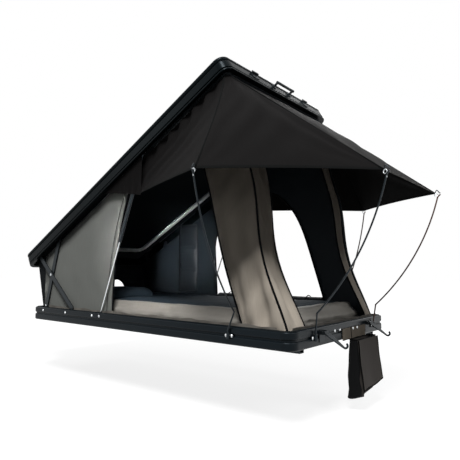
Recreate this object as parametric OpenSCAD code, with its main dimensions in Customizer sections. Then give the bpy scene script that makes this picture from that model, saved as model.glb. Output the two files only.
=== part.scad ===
// Hard shell roof top tent, shown open: a wedge lid on a pair of scissor arms and gas struts,
// canvas walls, a wrap-round canopy on four spring rods, and a shoe bag at the rear end.
// Frame: +X to the rear opening, +Y to the far side, +Z up, Z = 0 under the rack rails.

/* [Shell] */
// Length of the closed shell
shell_l = 2150; // [1950:10:2400]
// Width of the closed shell
shell_w = 1160; // [1000:10:1400]
// Height of the base rail
base_h = 88; // [84:1:96]
// Height of the lid rail
lid_h = 94; // [92:1:104]
// Depth of the rail's hollow wall
wall_t = 28; // [26:1:29]
// Outer radius of the shell's corners
corner_r = 60; // [56:1:90]
// Skin of the extruded rail
skin_t = 3; // [2:0.5:4]
// Depth of the outer groove in both rails
groove_d = 8; // [4:1:10]
// Height of the base rail's groove above its foot
groove_z = 42; // [38:1:44]
// Height of the outer groove
groove_h = 8; // [6:1:10]
// Width of the inner flange that carries a panel
flange_w = 24; // [18:1:26]
// Thickness of that flange
flange_t = 5; // [4:1:6]
// Thickness of the floor panel
floor_t = 18; // [12:1:24]
// Thickness of the roof panel
roof_t = 12; // [8:1:14]
// Height of the rubber seal on the base rail
seal_h = 3; // [2:0.5:5]
// Height of the rack rails under the base
rack_h = 22; // [16:1:40]
// Width of a rack rail
rack_w = 40; // [30:1:60]
// Distance between the rack rails' centre lines
rack_span = 880; // [700:10:940]
// Distance between the bolt holes along a rack rail
bolt_span = 900; // [600:10:1200]
// Radius of a rack bolt hole
bolt_r = 4.5; // [3:0.5:6]

/* [Opening] */
// Tilt of the open lid
lid_tilt = 29; // [27:0.5:31]
// Distance that the open lid's front edge stands ahead of the base
lid_lead = 93; // [60:1:110]
// Height of the open lid's front edge above the base rail
lid_lift = 283; // [260:1:310]

/* [Scissor arms] */
// Width of an arm
arm_w = 32; // [24:1:36]
// Thickness of an arm
arm_t = 6; // [4:1:7]
// Gap between the two arms of a pair
arm_gap = 2; // [1:0.5:3]
// Radius of the arm pins
pin_r = 5; // [4:0.5:6]
// Radial running clearance of pins, bores and the strut rod
run_clear = 0.05; // [0.02:0.01:0.1]
// Clearance between parts that pass or seat softly
seat_clear = 0.3; // [0.2:0.1:0.6]
// Distance of the inner arm's foot pin from the front end
inner_foot_in = 113; // [100:1:130]
// Height of the foot pins above the base rail's foot
pivot_h = 98; // [94:1:104]
// Angle of the open inner arm
inner_angle = 74; // [70:0.5:78]
// Inner arm from its foot pin to the cross pin
inner_lower = 232; // [215:1:245]
// Inner arm from the cross pin to its sliding end
inner_upper = 285; // [260:1:295]
// Outer arm from the cross pin to its sliding foot
outer_lower = 340; // [310:1:350]
// Distance of the outer arm's lid pin from the lid's front end
outer_pin_u = 139; // [130:1:150]
// Height of the outer arm's lid pin above the lid's lower edge
outer_pin_n = 18; // [14:1:24]

/* [Gas struts] */
// Distance of the strut's foot ahead of the side door
strut_door_gap = 146; // [110:1:160]
// Height of the strut's foot above the base rail's foot
strut_foot_h = 74; // [66:1:84]
// Distance of the strut's lid stud from the lid's front end
strut_top_u = 1405; // [1360:1:1450]
// Height of the strut's lid stud above the lid's lower edge
strut_top_n = 22; // [16:1:28]
// Radius of the strut's rod
strut_rod_r = 5; // [4:0.5:6]
// Radius of the strut's cylinder
strut_cyl_r = 11; // [9:0.5:12]
// Length of rod that shows on the open strut
strut_shown = 490; // [440:1:520]
// Length of rod inside the cylinder of the open strut
strut_inside = 110; // [60:1:140]

/* [Canvas] */
// Thickness of the canvas walls' solids
canvas_t = 4; // [3:0.5:6]
// Distance of the canvas walls from the shell's outer face
canvas_in = 60; // [58:1:66]
// Distance of the mattress from the shell's outer face
mattress_in = 72; // [70:1:100]
// Height of the mattress above the floor panel
mattress_h = 116; // [90:1:117]
// Rounding of the mattress edges
mattress_r = 34; // [20:1:45]
// Height of the pillow above the mattress
pillow_h = 88; // [60:1:120]
// Length of the side doors' foot line
door_l = 960; // [800:10:1000]
// Distance of the side doors from the base's rear end
door_rear_in = 300; // [260:10:400]
// Width of the canvas beside the rear door, near side
jamb_near = 180; // [120:5:220]
// Width of the canvas beside the rear door, far side
jamb_far = 90; // [60:5:160]
// Radius of the rolled far door
roll_r = 34; // [30:1:50]

/* [Canopy] */
// Reach of the canopy tips past the shell
canopy_reach = 362; // [300:5:420]
// Height of the canopy tips above the base rail's foot
canopy_z = 800; // [740:5:860]
// Distance of the side tips from the base's rear end
side_tip_in = 262; // [230:5:300]
// Sideways place of the rear tips from the middle
rear_tip_y = 412; // [380:2:440]
// Thickness of the canopy's solid
canopy_t = 5; // [4:0.5:8]
// Radius of a spring rod
rod_r = 4; // [3:0.5:5]
// Bend of the bowed part of a rod
rod_bend = 32; // [20:1:40]
// Distance of the side rods' feet from the base's rear end
side_foot_in = 347; // [330:1:380]
// Sideways place of the rear rods' feet from the middle
rear_foot_y = 372; // [360:2:400]

/* [Latches and bag] */
// Sideways place of the latches from the middle
latch_y = 290; // [270:2:310]
// Length of a latch lever
latch_l = 108; // [104:1:116]
// Width of a latch lever
latch_w = 46; // [30:1:60]
// Width of the shoe bag
bag_w = 286; // [240:2:300]
// Depth of the shoe bag at its foot
bag_d = 92; // [70:1:110]
// Depth of the shoe bag at its mouth
bag_mouth = 48; // [40:1:60]
// Height of the shoe bag
bag_h = 330; // [260:5:340]
// Sideways place of the bag's middle
bag_y = 160; // [150:5:165]
// Width of the flap that the bag hangs from
flap_w = 308; // [280:2:312]
// Sideways place of the flap's middle
flap_y = 100; // [90:2:102]

/* [Hidden] */
$fn = 48;

rail_black = "#242b30";
cast_black = "#171c20";
trim_black = "#0f1316";
silver = "#c9ccd0";
taupe = "#a39b90";
grey_canvas = "#6a6b67";
charcoal = "#2a2a2b";
slate = "#39434c";
bag_brown = "#3e3a35";

half_l = shell_l / 2;
half_w = shell_w / 2;
base_z = rack_h;
base_top = base_z + base_h;
floor_seat = base_z + flange_t;
floor_top = floor_seat + floor_t;
lid_x = -half_l - lid_lead;
lid_z = base_top + lid_lift;
roof_lip = 3;
roof_seat = lid_h - roof_lip - roof_t;
liner_t = 6;

arm_eye = arm_w + 4;
outer_arm_in = wall_t + arm_t;
inner_arm_in = outer_arm_in + arm_t + arm_gap;
post_in = inner_arm_in + arm_t + seat_clear;
strut_pad_t = 2;
strut_in = wall_t + strut_pad_t + strut_cyl_r + 2 * seat_clear;

// A point of the lid's side view, u along the lid from its front end and n above its lower edge
function lid_point(u, n) = [
    lid_x + u * cos(lid_tilt) - n * sin(lid_tilt),
    lid_z + u * sin(lid_tilt) + n * cos(lid_tilt)
];
function lid_along(p) = (p[0] - lid_x) * cos(lid_tilt) + (p[1] - lid_z) * sin(lid_tilt);
function heading(p, q) = atan2(q[1] - p[1], q[0] - p[0]);
function reach(p, angle, d) = p + d * [cos(angle), sin(angle)];
function mix(p, q, t) = p + (q - p) * t;
function bend(p, c, q, t) = mix(mix(p, c, t), mix(c, q, t), t);
function arc_run(p, c, q, steps) = [for (i = [0 : steps]) bend(p, c, q, i / steps)];

inner_foot = [-half_l + inner_foot_in, base_z + pivot_h];
cross_pin = reach(inner_foot, inner_angle, inner_lower);
inner_top = reach(cross_pin, inner_angle, inner_upper);
outer_top = lid_point(outer_pin_u, outer_pin_n);
outer_angle = heading(outer_top, cross_pin);
outer_foot = reach(cross_pin, outer_angle, outer_lower);

door_rear_x = half_l - door_rear_in;
door_front_x = door_rear_x - door_l;
strut_foot = [door_front_x - strut_door_gap, base_z + strut_foot_h];
strut_top = lid_point(strut_top_u, strut_top_n);
strut_angle = heading(strut_foot, strut_top);
strut_l = norm(strut_top - strut_foot);
strut_eye_t = 10;
strut_pin_r = 4;
strut_eye_r = 9;

// Turns a profile with x inward and y up into a rail along +X whose outer face is at y = 0
module along_x(run) {
    rotate([90, 0, 90])
        linear_extrude(run)
            children();
}

// Extrudes an outline drawn in the side view, from the near side's distance w inward
module near_plate(w, t) {
    translate([0, -half_w + w + t, 0])
        rotate([90, 0, 0])
            linear_extrude(t)
                children();
}

module near_pin(p, w, run, r) {
    translate([p[0], -half_w + w, p[1]])
        rotate([-90, 0, 0])
            cylinder(h = run, r = r);
}

module far_side() {
    mirror([0, 1, 0])
        children();
}

module both_sides() {
    children();
    far_side()
        children();
}

// The lid's own frame: x from its front end, z up from its lower edge
module in_lid() {
    translate([lid_x, 0, lid_z])
        rotate([0, -lid_tilt, 0])
            children();
}

module rounded(w, h, r) {
    translate([r, 0])
        square([w - 2 * r, h]);
    translate([0, r])
        square([w, h - 2 * r]);
    for (x = [r, w - r], y = [r, h - r])
        translate([x, y])
            circle(r);
}

module plate(l, w, r, t) {
    linear_extrude(t)
        translate([-l / 2, -w / 2])
            rounded(l, w, r);
}

// A round bar between two points
module bar(p, q, r) {
    d = q - p;
    translate(p)
        rotate([0, acos(d[2] / norm(d)), atan2(d[1], d[0])])
            cylinder(h = norm(d), r = r);
}

// Base tray

// Two rounded bulges with a groove between them, hollow, with a flange for the floor panel
module base_profile() {
    bulge_r = 9;
    upper_z = groove_z + groove_h;
    difference() {
        union() {
            rounded(wall_t, groove_z, bulge_r);
            translate([0, upper_z])
                rounded(wall_t, base_h - upper_z, bulge_r);
            translate([groove_d, bulge_r])
                square([wall_t - groove_d, base_h - 2 * bulge_r]);
        }
        translate([skin_t, skin_t])
            rounded(wall_t - 2 * skin_t, groove_z - 2 * skin_t, bulge_r - skin_t);
        translate([skin_t, upper_z + skin_t])
            rounded(wall_t - 2 * skin_t, base_h - upper_z - 2 * skin_t, bulge_r - skin_t);
    }
    difference() {
        square([wall_t + flange_w, flange_t]);
        square([bulge_r, bulge_r]);
    }
}

// Four corners of a shell, each a quarter turn of the rail's profile
module corner_turns() {
    for (q = [0 : 3]) {
        sx = (q == 0 || q == 3) ? 1 : -1;
        sy = q < 2 ? 1 : -1;
        translate([sx * (half_l - corner_r), sy * (half_w - corner_r), 0])
            rotate([0, 0, 90 * q])
                rotate_extrude(angle = 90, $fn = 96)
                    translate([corner_r, 0])
                        mirror([1, 0])
                            children();
    }
}

module side_rail() {
    translate([-half_l + corner_r, -half_w, 0])
        along_x(shell_l - 2 * corner_r)
            children();
}

module rear_rail() {
    translate([half_l, -half_w + corner_r, 0])
        rotate([0, 0, 90])
            along_x(shell_w - 2 * corner_r)
                children();
}

module in_base() {
    translate([0, 0, base_z])
        children();
}

module base_side_rail_near() {
    color(rail_black)
        in_base()
            side_rail()
                base_profile();
}

module base_side_rail_far() {
    color(rail_black)
        in_base()
            far_side()
                side_rail()
                    base_profile();
}

module base_rear_rail() {
    color(rail_black)
        in_base()
            rear_rail()
                base_profile();
}

module base_front_rail() {
    color(rail_black)
        in_base()
            mirror([1, 0, 0])
                rear_rail()
                    base_profile();
}

module base_corner_castings() {
    color(cast_black)
        in_base()
            corner_turns()
                base_profile();
}

module base_floor_panel() {
    inset = wall_t + seat_clear;
    color(trim_black)
        translate([0, 0, floor_seat])
            plate(shell_l - 2 * inset, shell_w - 2 * inset, corner_r - inset, floor_t);
}

// Two hollow rails that clamp to a roof rack, each with two bolt holes in its foot
module rack_rails() {
    rail_l = shell_l - 2 * wall_t;
    rail_wall = 4;
    color(trim_black)
        for (side = [-1, 1])
            translate([-rail_l / 2, side * rack_span / 2 - rack_w / 2, 0])
                difference() {
                    along_x(rail_l)
                        difference() {
                            square([rack_w, rack_h]);
                            translate([rail_wall, rail_wall])
                                square([rack_w - 2 * rail_wall, rack_h - 2 * rail_wall]);
                        }
                    for (x = [-1, 1])
                        translate([rail_l / 2 + x * bolt_span / 2, rack_w / 2, -1])
                            cylinder(h = rail_wall + 2, r = bolt_r);
                }
}

// Rubber strip round the top of the base rail
module base_seal() {
    seal_in = 12;
    seal_w = 9;
    r_out = corner_r - seal_in;
    color(trim_black)
        translate([0, 0, base_top])
            difference() {
                plate(shell_l - 2 * seal_in, shell_w - 2 * seal_in, r_out, seal_h);
                translate([0, 0, -1])
                    plate(shell_l - 2 * (seal_in + seal_w), shell_w - 2 * (seal_in + seal_w),
                        r_out - seal_w, seal_h + 2);
            }
}

// A closed cushion from a grid of points: its crown swells and its sides are drawn in
module cushion(l, w, h, r, crown, cols, rows, wave) {
    function edge(t) = pow(1 - pow(abs(2 * t - 1), 6), 0.5);
    function place(t, span) = (t - 0.5) * span;
    function lift(i, j) = h - crown + crown * edge(i / cols) * edge(j / rows)
        + wave * sin(360 * 3.5 * i / cols) * (1 - edge(j / rows))
        + wave * sin(360 * 2.5 * j / rows) * (1 - edge(i / cols));
    function draw_in(z) = r * pow(1 - sin(180 * z / h), 2) * 0.5;
    ring_n = 2 * (cols + rows);
    function ring_ij(k) = k < cols ? [k, 0]
        : k < cols + rows ? [cols, k - cols]
        : k < 2 * cols + rows ? [2 * cols + rows - k, rows]
        : [0, ring_n - k];
    side_steps = 4;
    function side_point(k, s) =
        let (
            g = ring_ij(k),
            z = lift(g[0], g[1]) * s / side_steps,
            d = draw_in(z),
            x_side = (g[0] == 0 || g[0] == cols) ? 1 : 0,
            y_side = (g[1] == 0 || g[1] == rows) ? 1 : 0,
            x = place(g[0] / cols, l),
            y = place(g[1] / rows, w)
        )
        [x - sign(x) * d * x_side, y - sign(y) * d * y_side, z];
    sides = [for (s = [0 : side_steps], k = [0 : ring_n - 1]) side_point(k, s)];
    inner_cols = cols - 1;
    top_inner = [for (j = [1 : rows - 1], i = [1 : inner_cols])
        [place(i / cols, l), place(j / rows, w), lift(i, j)]];
    n_side = len(sides);
    last_ring = side_steps * ring_n;
    function ring_index(i, j) = j == 0 ? i : i == cols ? cols + j : j == rows ? 2 * cols + rows - i
        : ring_n - j;
    function top_index(i, j) = (i == 0 || j == 0 || i == cols || j == rows)
        ? last_ring + ring_index(i, j) % ring_n
        : n_side + (j - 1) * inner_cols + i - 1;
    side_faces = [for (s = [0 : side_steps - 1], k = [0 : ring_n - 1])
        let (a = s * ring_n + k, b = s * ring_n + (k + 1) % ring_n)
        each [[a, a + ring_n, b], [b, a + ring_n, b + ring_n]]];
    top_faces = [for (j = [0 : rows - 1], i = [0 : cols - 1])
        each [
            [top_index(i, j), top_index(i, j + 1), top_index(i + 1, j)],
            [top_index(i + 1, j), top_index(i, j + 1), top_index(i + 1, j + 1)]
        ]];
    points = concat(sides, top_inner, [[0, 0, 0]]);
    foot_faces = [for (k = [0 : ring_n - 1]) [k, (k + 1) % ring_n, len(points) - 1]];
    polyhedron(points, concat(side_faces, top_faces, foot_faces));
}

module mattress() {
    rear_slack = 34;
    mattress_l = shell_l - 2 * mattress_in - rear_slack;
    mattress_w = shell_w - 2 * mattress_in;
    color(taupe)
        translate([-rear_slack / 2, 0, floor_top + seat_clear])
            cushion(mattress_l, mattress_w, mattress_h, mattress_r, 10, 20, 12, 3);
}

module pillow() {
    pillow_l = 420;
    pillow_w = 500;
    pillow_y = -235;
    from_front = 320;
    color(slate)
        translate([-half_l + from_front + pillow_l / 2, pillow_y, floor_top + mattress_h + 2 * seat_clear])
            cushion(pillow_l, pillow_w, pillow_h, 46, pillow_h * 0.55, 12, 14, 0);
}

// Scissor arms and their brackets

module arm_bar(p, q) {
    translate(p)
        rotate(heading(p, q))
            translate([0, -arm_w / 2])
                square([norm(q - p), arm_w]);
    for (end = [p, q])
        translate(end)
            circle(d = arm_eye);
}

module pin_hole(p) {
    translate(p)
        circle(pin_r + run_clear);
}

module inner_arm() {
    near_plate(inner_arm_in, arm_t)
        difference() {
            arm_bar(inner_foot, inner_top);
            pin_hole(inner_foot);
            pin_hole(cross_pin);
        }
}

module outer_arm() {
    near_plate(outer_arm_in, arm_t)
        difference() {
            arm_bar(outer_top, outer_foot);
            pin_hole(outer_top);
            translate(cross_pin)
                circle(pin_r);
        }
}

module inner_arm_near() {
    color(cast_black)
        inner_arm();
}

module inner_arm_far() {
    color(cast_black)
        far_side()
            inner_arm();
}

module outer_arm_near() {
    color(cast_black)
        outer_arm();
}

module outer_arm_far() {
    color(cast_black)
        far_side()
            outer_arm();
}

// Headed pins that are pressed into the outer arms and face the inner arms' cross holes
module scissor_cross_pins() {
    head_t = 3;
    head_in = outer_arm_in - seat_clear;
    color(silver)
        both_sides() {
            near_pin(cross_pin, head_in, outer_arm_in + arm_t - head_in, pin_r);
            near_pin(cross_pin, head_in - head_t, head_t, pin_r + 4);
        }
}

// Posts on the floor panel that carry the inner arms' foot pins
module scissor_base_brackets() {
    post_w = 52;
    post_t = 6;
    pin_in = inner_arm_in - seat_clear;
    color(cast_black)
        both_sides() {
            near_plate(post_in, post_t)
                difference() {
                    union() {
                        translate([inner_foot[0] - post_w / 2, floor_top])
                            square([post_w, inner_foot[1] - floor_top - 12]);
                        arm_bar([inner_foot[0], floor_top + arm_w], inner_foot);
                    }
                    translate(inner_foot)
                        circle(pin_r);
                }
            near_pin(inner_foot, pin_in, post_in + post_t - pin_in, pin_r);
        }
}

// Ledges inside the side rails on which the outer arms' sliding feet travel
module scissor_foot_ledges() {
    ledge_drop = 5.5;
    ledge_t = 5;
    ledge_back = 30;
    ledge_l = strut_foot[0] - outer_foot[0] - 20;
    ledge_z = outer_foot[1] - arm_eye / 2 - ledge_drop;
    color(trim_black)
        both_sides()
            translate([outer_foot[0] - ledge_back, -half_w + wall_t, ledge_z - ledge_t])
                cube([ledge_l, arm_t + arm_t + arm_gap, ledge_t]);
}

// Lugs inside the lid rail with the pins of the outer arms
module lid_scissor_brackets() {
    lug_w = 44;
    lug_t = arm_t - seat_clear;
    color(cast_black)
        both_sides()
            in_lid() {
                translate([outer_pin_u, -half_w + wall_t + lug_t, 0])
                    rotate([90, 0, 0])
                        linear_extrude(lug_t)
                            difference() {
                                union() {
                                    translate([-lug_w / 2, outer_pin_n])
                                        square([lug_w, roof_seat - flange_t - outer_pin_n]);
                                    translate([0, outer_pin_n])
                                        circle(d = arm_w * 0.9);
                                }
                                translate([0, outer_pin_n])
                                    circle(pin_r);
                            }
                translate([outer_pin_u, -half_w + wall_t, outer_pin_n])
                    rotate([-90, 0, 0])
                        cylinder(h = arm_t + arm_t + seat_clear, r = pin_r);
            }
}

// Angle strips under the roof flange along which the inner arms' upper ends travel
module lid_slide_channels() {
    strip_from = lid_along(inner_top) - 60;
    strip_l = 330;
    strip_t = 5;
    strip_w = 14;
    color(trim_black)
        both_sides()
            in_lid()
                translate([strip_from, -half_w + inner_arm_in - 4, roof_seat - flange_t - strip_t])
                    cube([strip_l, strip_w, strip_t]);
}

// Lid

// A rounded top strip, a groove, a flat band and a lower lip, with a flange for the roof panel
module lid_profile() {
    lip_h = 11;
    lip_groove = 5;
    top_h = 28;
    top_r = 13;
    band_z = lip_h + lip_groove;
    band_h = lid_h - top_h - groove_h + 1 - band_z;
    difference() {
        union() {
            translate([0, lid_h - top_h])
                rounded(wall_t, top_h, top_r);
            translate([groove_d, lip_h - 3])
                square([wall_t - groove_d, lid_h - top_r - lip_h]);
            translate([0, band_z])
                rounded(wall_t, band_h, 3);
            rounded(wall_t, lip_h, 4);
        }
        translate([groove_d + skin_t, skin_t + lip_h])
            square([wall_t - groove_d - 2 * skin_t, lid_h - top_h - lip_h - skin_t]);
    }
    translate([wall_t - 1, roof_seat - flange_t])
        square([flange_w + 1, flange_t]);
}

module in_lid_middle() {
    in_lid()
        translate([half_l, 0, 0])
            children();
}

module lid_side_rail_near() {
    color(rail_black)
        in_lid_middle()
            side_rail()
                lid_profile();
}

module lid_side_rail_far() {
    color(rail_black)
        in_lid_middle()
            far_side()
                side_rail()
                    lid_profile();
}

module lid_rear_rail() {
    color(rail_black)
        in_lid_middle()
            rear_rail()
                lid_profile();
}

module lid_front_rail() {
    color(rail_black)
        in_lid_middle()
            mirror([1, 0, 0])
                rear_rail()
                    lid_profile();
}

module lid_corner_castings() {
    color(cast_black)
        in_lid_middle()
            corner_turns()
                lid_profile();
}

module lid_roof_panel() {
    inset = wall_t + seat_clear;
    color(rail_black)
        in_lid_middle()
            translate([0, 0, roof_seat])
                plate(shell_l - 2 * inset, shell_w - 2 * inset, corner_r - inset, roof_t);
}

module lid_liner() {
    inset = wall_t + flange_w + 1;
    color(trim_black)
        in_lid_middle()
            translate([0, 0, roof_seat - liner_t])
                plate(shell_l - 2 * inset, shell_w - 2 * inset, 12, liner_t);
}

// Flat bent tube under the liner that spreads the canvas: two legs and a front cross bar
module lid_hoop() {
    tube_w = 40;
    tube_h = 21;
    elbow_r = 60;
    hoop_y = half_w - 160;
    cross_u = 215;
    leg_end = 1150;
    hoop_n = roof_seat - liner_t - tube_h - seat_clear;
    module section() {
        rounded(tube_w, tube_h, tube_h / 2 - 0.5);
    }
    color(silver)
        in_lid()
            translate([0, 0, hoop_n]) {
                both_sides() {
                    translate([cross_u + elbow_r, -hoop_y - tube_w / 2, 0])
                        along_x(leg_end - cross_u - elbow_r)
                            section();
                    translate([cross_u + elbow_r, -hoop_y + elbow_r, 0])
                        rotate([0, 0, 180])
                            rotate_extrude(angle = 90, $fn = 96)
                                translate([elbow_r - tube_w / 2, 0])
                                    section();
                }
                translate([cross_u - tube_w / 2, hoop_y - elbow_r, 0])
                    rotate([0, 0, -90])
                        along_x(2 * (hoop_y - elbow_r))
                            section();
            }
}

// Grab handle on the rear rail: a round grip on two posts
module lid_handle() {
    grip_l = 190;
    grip_r = 8;
    stand = 34;
    grip_n = lid_h * 0.55;
    color(trim_black)
        in_lid()
            translate([shell_l, 0, grip_n]) {
                translate([stand, -grip_l / 2, 0])
                    rotate([-90, 0, 0])
                        cylinder(h = grip_l, r = grip_r);
                for (side = [-1, 1])
                    translate([0, side * (grip_l / 2 - grip_r), 0]) {
                        rotate([0, 90, 0])
                            cylinder(h = stand, r = grip_r - 1);
                        translate([0, -15, -15])
                            cube([4, 30, 30]);
                    }
            }
}

// Catches on the lid's rear rail for the latch hooks
module latch_keepers() {
    keeper_w = latch_w + 14;
    foot_n = lid_h * 0.32;
    foot_h = 34;
    stand = 15;
    lip_t = 5;
    color(trim_black)
        in_lid()
            for (side = [-1, 1])
                translate([shell_l, side * latch_y - keeper_w / 2, foot_n]) {
                    cube([4, keeper_w, foot_h]);
                    translate([0, 0, foot_h - lip_t])
                        cube([stand, keeper_w, lip_t]);
                    translate([stand - lip_t, 0, foot_h - lip_t])
                        cube([lip_t, keeper_w, 2 * lip_t]);
                }
}

// Gas struts

module strut_base_brackets() {
    foot_w = 70;
    foot_h = 34;
    plate_t = 5;
    color(cast_black)
        both_sides() {
            near_plate(wall_t, plate_t)
                translate(strut_foot - [foot_w / 2, foot_h / 2])
                    rounded(foot_w, foot_h, 8);
            near_pin(strut_foot, wall_t, strut_in + strut_eye_t / 2 - wall_t, strut_pin_r);
        }
}

// Draws along the strut: x runs up the strut from its foot
module on_strut(from) {
    translate([strut_foot[0], -half_w + strut_in, strut_foot[1]])
        rotate([0, -strut_angle, 0])
            translate([from, 0, 0])
                children();
}

module strut_eye(bore) {
    rotate([90, 0, 0])
        difference() {
            cylinder(h = strut_eye_t, r = strut_eye_r, center = true);
            cylinder(h = strut_eye_t + 2, r = bore, center = true);
        }
}

module strut_rod() {
    on_strut(0) {
        strut_eye(strut_pin_r + run_clear);
        translate([strut_eye_r - 1, 0, 0])
            rotate([0, 90, 0])
                cylinder(h = strut_shown + strut_inside - strut_eye_r + 1, r = strut_rod_r);
    }
}

module strut_cylinder() {
    tube_l = strut_l - strut_shown - strut_eye_r - 4;
    bore_l = tube_l - 12;
    on_strut(strut_shown)
        rotate([0, 90, 0])
            difference() {
                union() {
                    cylinder(h = tube_l, r = strut_cyl_r);
                    cylinder(h = tube_l + 6, r = strut_rod_r);
                }
                translate([0, 0, -1])
                    cylinder(h = bore_l, r = strut_rod_r + run_clear);
            }
    on_strut(strut_l)
        strut_eye(strut_pin_r + run_clear);
}

module strut_rod_near() {
    color(silver)
        strut_rod();
}

module strut_rod_far() {
    color(silver)
        far_side()
            strut_rod();
}

module strut_cylinder_near() {
    color(cast_black)
        strut_cylinder();
}

module strut_cylinder_far() {
    color(cast_black)
        far_side()
            strut_cylinder();
}

// Riveted pads on the lid rail that the strut tops face
module lid_strut_studs() {
    pad_w = 50;
    pad_h = 30;
    stud_l = strut_pad_t + seat_clear;
    color(cast_black)
        both_sides()
            in_lid()
                translate([strut_top_u, -half_w + wall_t, strut_top_n]) {
                    translate([-pad_w / 2, 0, -pad_h / 2])
                        cube([pad_w, strut_pad_t, pad_h]);
                    rotate([-90, 0, 0])
                        cylinder(h = stud_l, r = strut_pin_r + 2);
                }
}

// Latches

latch_pin_x = half_l + 24;
latch_pin_z = base_z + 64;
latch_pin_r = 4;
latch_droop = 35;
ear_t = 4;

// Plates on the rear rail with two ears and the pin that a lever turns on
module latch_plates() {
    plate_h = 56;
    plate_t = 3;
    span = latch_w + 2 * (ear_t + seat_clear);
    ear_r = 9;
    color(cast_black)
        for (side = [-1, 1])
            translate([0, side * latch_y, 0]) {
                translate([half_l, -span / 2, latch_pin_z + ear_r - plate_h])
                    cube([plate_t, span, plate_h]);
                for (y = [-span / 2, span / 2 - ear_t])
                    translate([0, y + ear_t, 0])
                        rotate([90, 0, 0])
                            linear_extrude(ear_t) {
                                translate([half_l, latch_pin_z - ear_r])
                                    square([latch_pin_x - half_l, 2 * ear_r]);
                                translate([latch_pin_x, latch_pin_z])
                                    circle(ear_r);
                            }
                translate([latch_pin_x, -span / 2, latch_pin_z])
                    rotate([-90, 0, 0])
                        cylinder(h = span, r = latch_pin_r);
            }
}

// A tapered lever with a barrel at its pin and a hook at its end
module latch_lever(side) {
    barrel_r = 8;
    lever_t = 5;
    tip_w = 16;
    hook_in = 7;
    hook_r = 5;
    color(trim_black)
        translate([latch_pin_x, side * latch_y, latch_pin_z])
            rotate([0, latch_droop, 0]) {
                difference() {
                    union() {
                        translate([0, -latch_w / 2, 0])
                            rotate([-90, 0, 0])
                                cylinder(h = latch_w, r = barrel_r);
                        translate([0, 0, -lever_t / 2])
                            linear_extrude(lever_t)
                                polygon([
                                    [0, -latch_w / 2], [latch_l * 0.35, -latch_w / 2],
                                    [latch_l, -tip_w / 2], [latch_l, tip_w / 2],
                                    [latch_l * 0.35, latch_w / 2], [0, latch_w / 2]
                                ]);
                    }
                    translate([0, -latch_w, 0])
                        rotate([-90, 0, 0])
                            cylinder(h = 2 * latch_w, r = latch_pin_r + run_clear);
                }
                translate([latch_l, 0, hook_in + hook_r])
                    rotate([90, 0, 0])
                        rotate([0, 0, -90])
                            rotate_extrude(angle = 180)
                                translate([hook_in + hook_r, 0])
                                    circle(hook_r);
            }
}

module latch_lever_near() {
    latch_lever(-1);
}

module latch_lever_far() {
    latch_lever(1);
}

// Spring rods and their sockets

socket_off = 10;
socket_foot = base_z + 30;
socket_h = 30;
plug_z = socket_foot + 4;
kink_z = base_z + 163;
side_foot = [half_l - side_foot_in, -half_w - socket_off];
rear_foot = [half_l + socket_off, -rear_foot_y];
side_tip = [half_l - side_tip_in, -half_w - canopy_reach, base_z + canopy_z];
rear_tip = [half_l + canopy_reach, -rear_tip_y, base_z + canopy_z];

// A cup on a small plate: the plate lies on the rail behind it
module rod_socket() {
    cup_r = 8;
    plate_w = 44;
    plate_t = 3;
    difference() {
        union() {
            cylinder(h = socket_h, r = cup_r);
            translate([-plate_w / 2, socket_off - plate_t, 4])
                cube([plate_w, plate_t, socket_h - 8]);
            translate([-cup_r * 0.8, 0, 4])
                cube([cup_r * 1.6, socket_off - plate_t, socket_h - 8]);
        }
        translate([0, 0, plug_z - socket_foot])
            cylinder(h = socket_h, r = rod_r + run_clear);
    }
}

module rod_sockets() {
    color(cast_black)
        both_sides() {
            translate([side_foot[0], side_foot[1], socket_foot])
                rod_socket();
            translate([rear_foot[0], rear_foot[1], socket_foot])
                rotate([0, 0, 90])
                    rod_socket();
        }
}

// The bowed stretch of a rod: an arc in the upright plane through its two ends
module rod_bow(p, q) {
    d = q - p;
    g = atan2(d[2], norm([d[0], d[1]]));
    bow_r = norm(d) / (2 * sin(rod_bend / 2));
    lift = bow_r * cos(rod_bend / 2);
    translate(p)
        rotate([0, 0, atan2(d[1], d[0])])
            translate([norm(d) / 2 * cos(g) - lift * sin(g), 0, norm(d) / 2 * sin(g) + lift * cos(g)])
                rotate([90, 0, 0])
                    rotate([0, 0, g - 90 - rod_bend / 2])
                        rotate_extrude(angle = rod_bend, $fn = 180)
                            translate([bow_r, 0])
                                circle(rod_r);
}

// A spring rod: plug, slanted shank, kink, bow and a bent tip beside the canopy's corner
module awning_rod(foot, tip, shank, out) {
    plug_end = [foot[0], foot[1], socket_foot + socket_h + 12];
    plug = [foot[0], foot[1], plug_z + seat_clear];
    kink = [foot[0] + shank[0], foot[1] + shank[1], kink_z];
    beside = 9 + rod_r;
    below = 18;
    nib = 14;
    top = tip + [out[0] * beside, out[1] * beside, -below];
    end = top + [out[0] * nib, out[1] * nib, nib];
    color(trim_black) {
        bar(plug, plug_end, rod_r);
        bar(plug_end, kink, rod_r);
        rod_bow(kink, top);
        bar(top, end, rod_r);
        for (joint = [plug_end, kink, top])
            translate(joint)
                sphere(rod_r * 1.2);
    }
}

module awning_rod_side() {
    awning_rod(side_foot, side_tip, [46, -10], [0.25, -0.97]);
}

module awning_rod_rear() {
    awning_rod(rear_foot, rear_tip, [12, -8], [0.97, -0.25]);
}

module awning_rod_side_near() {
    awning_rod_side();
}

module awning_rod_side_far() {
    far_side()
        awning_rod_side();
}

module awning_rod_rear_near() {
    awning_rod_rear();
}

module awning_rod_rear_far() {
    far_side()
        awning_rod_rear();
}

// Shoe bag

flap_t = 6;
bag_top = base_z - 4;
bag_tuck = 2;
bag_x = half_l + flap_t - bag_tuck + bag_mouth / 2;

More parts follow.
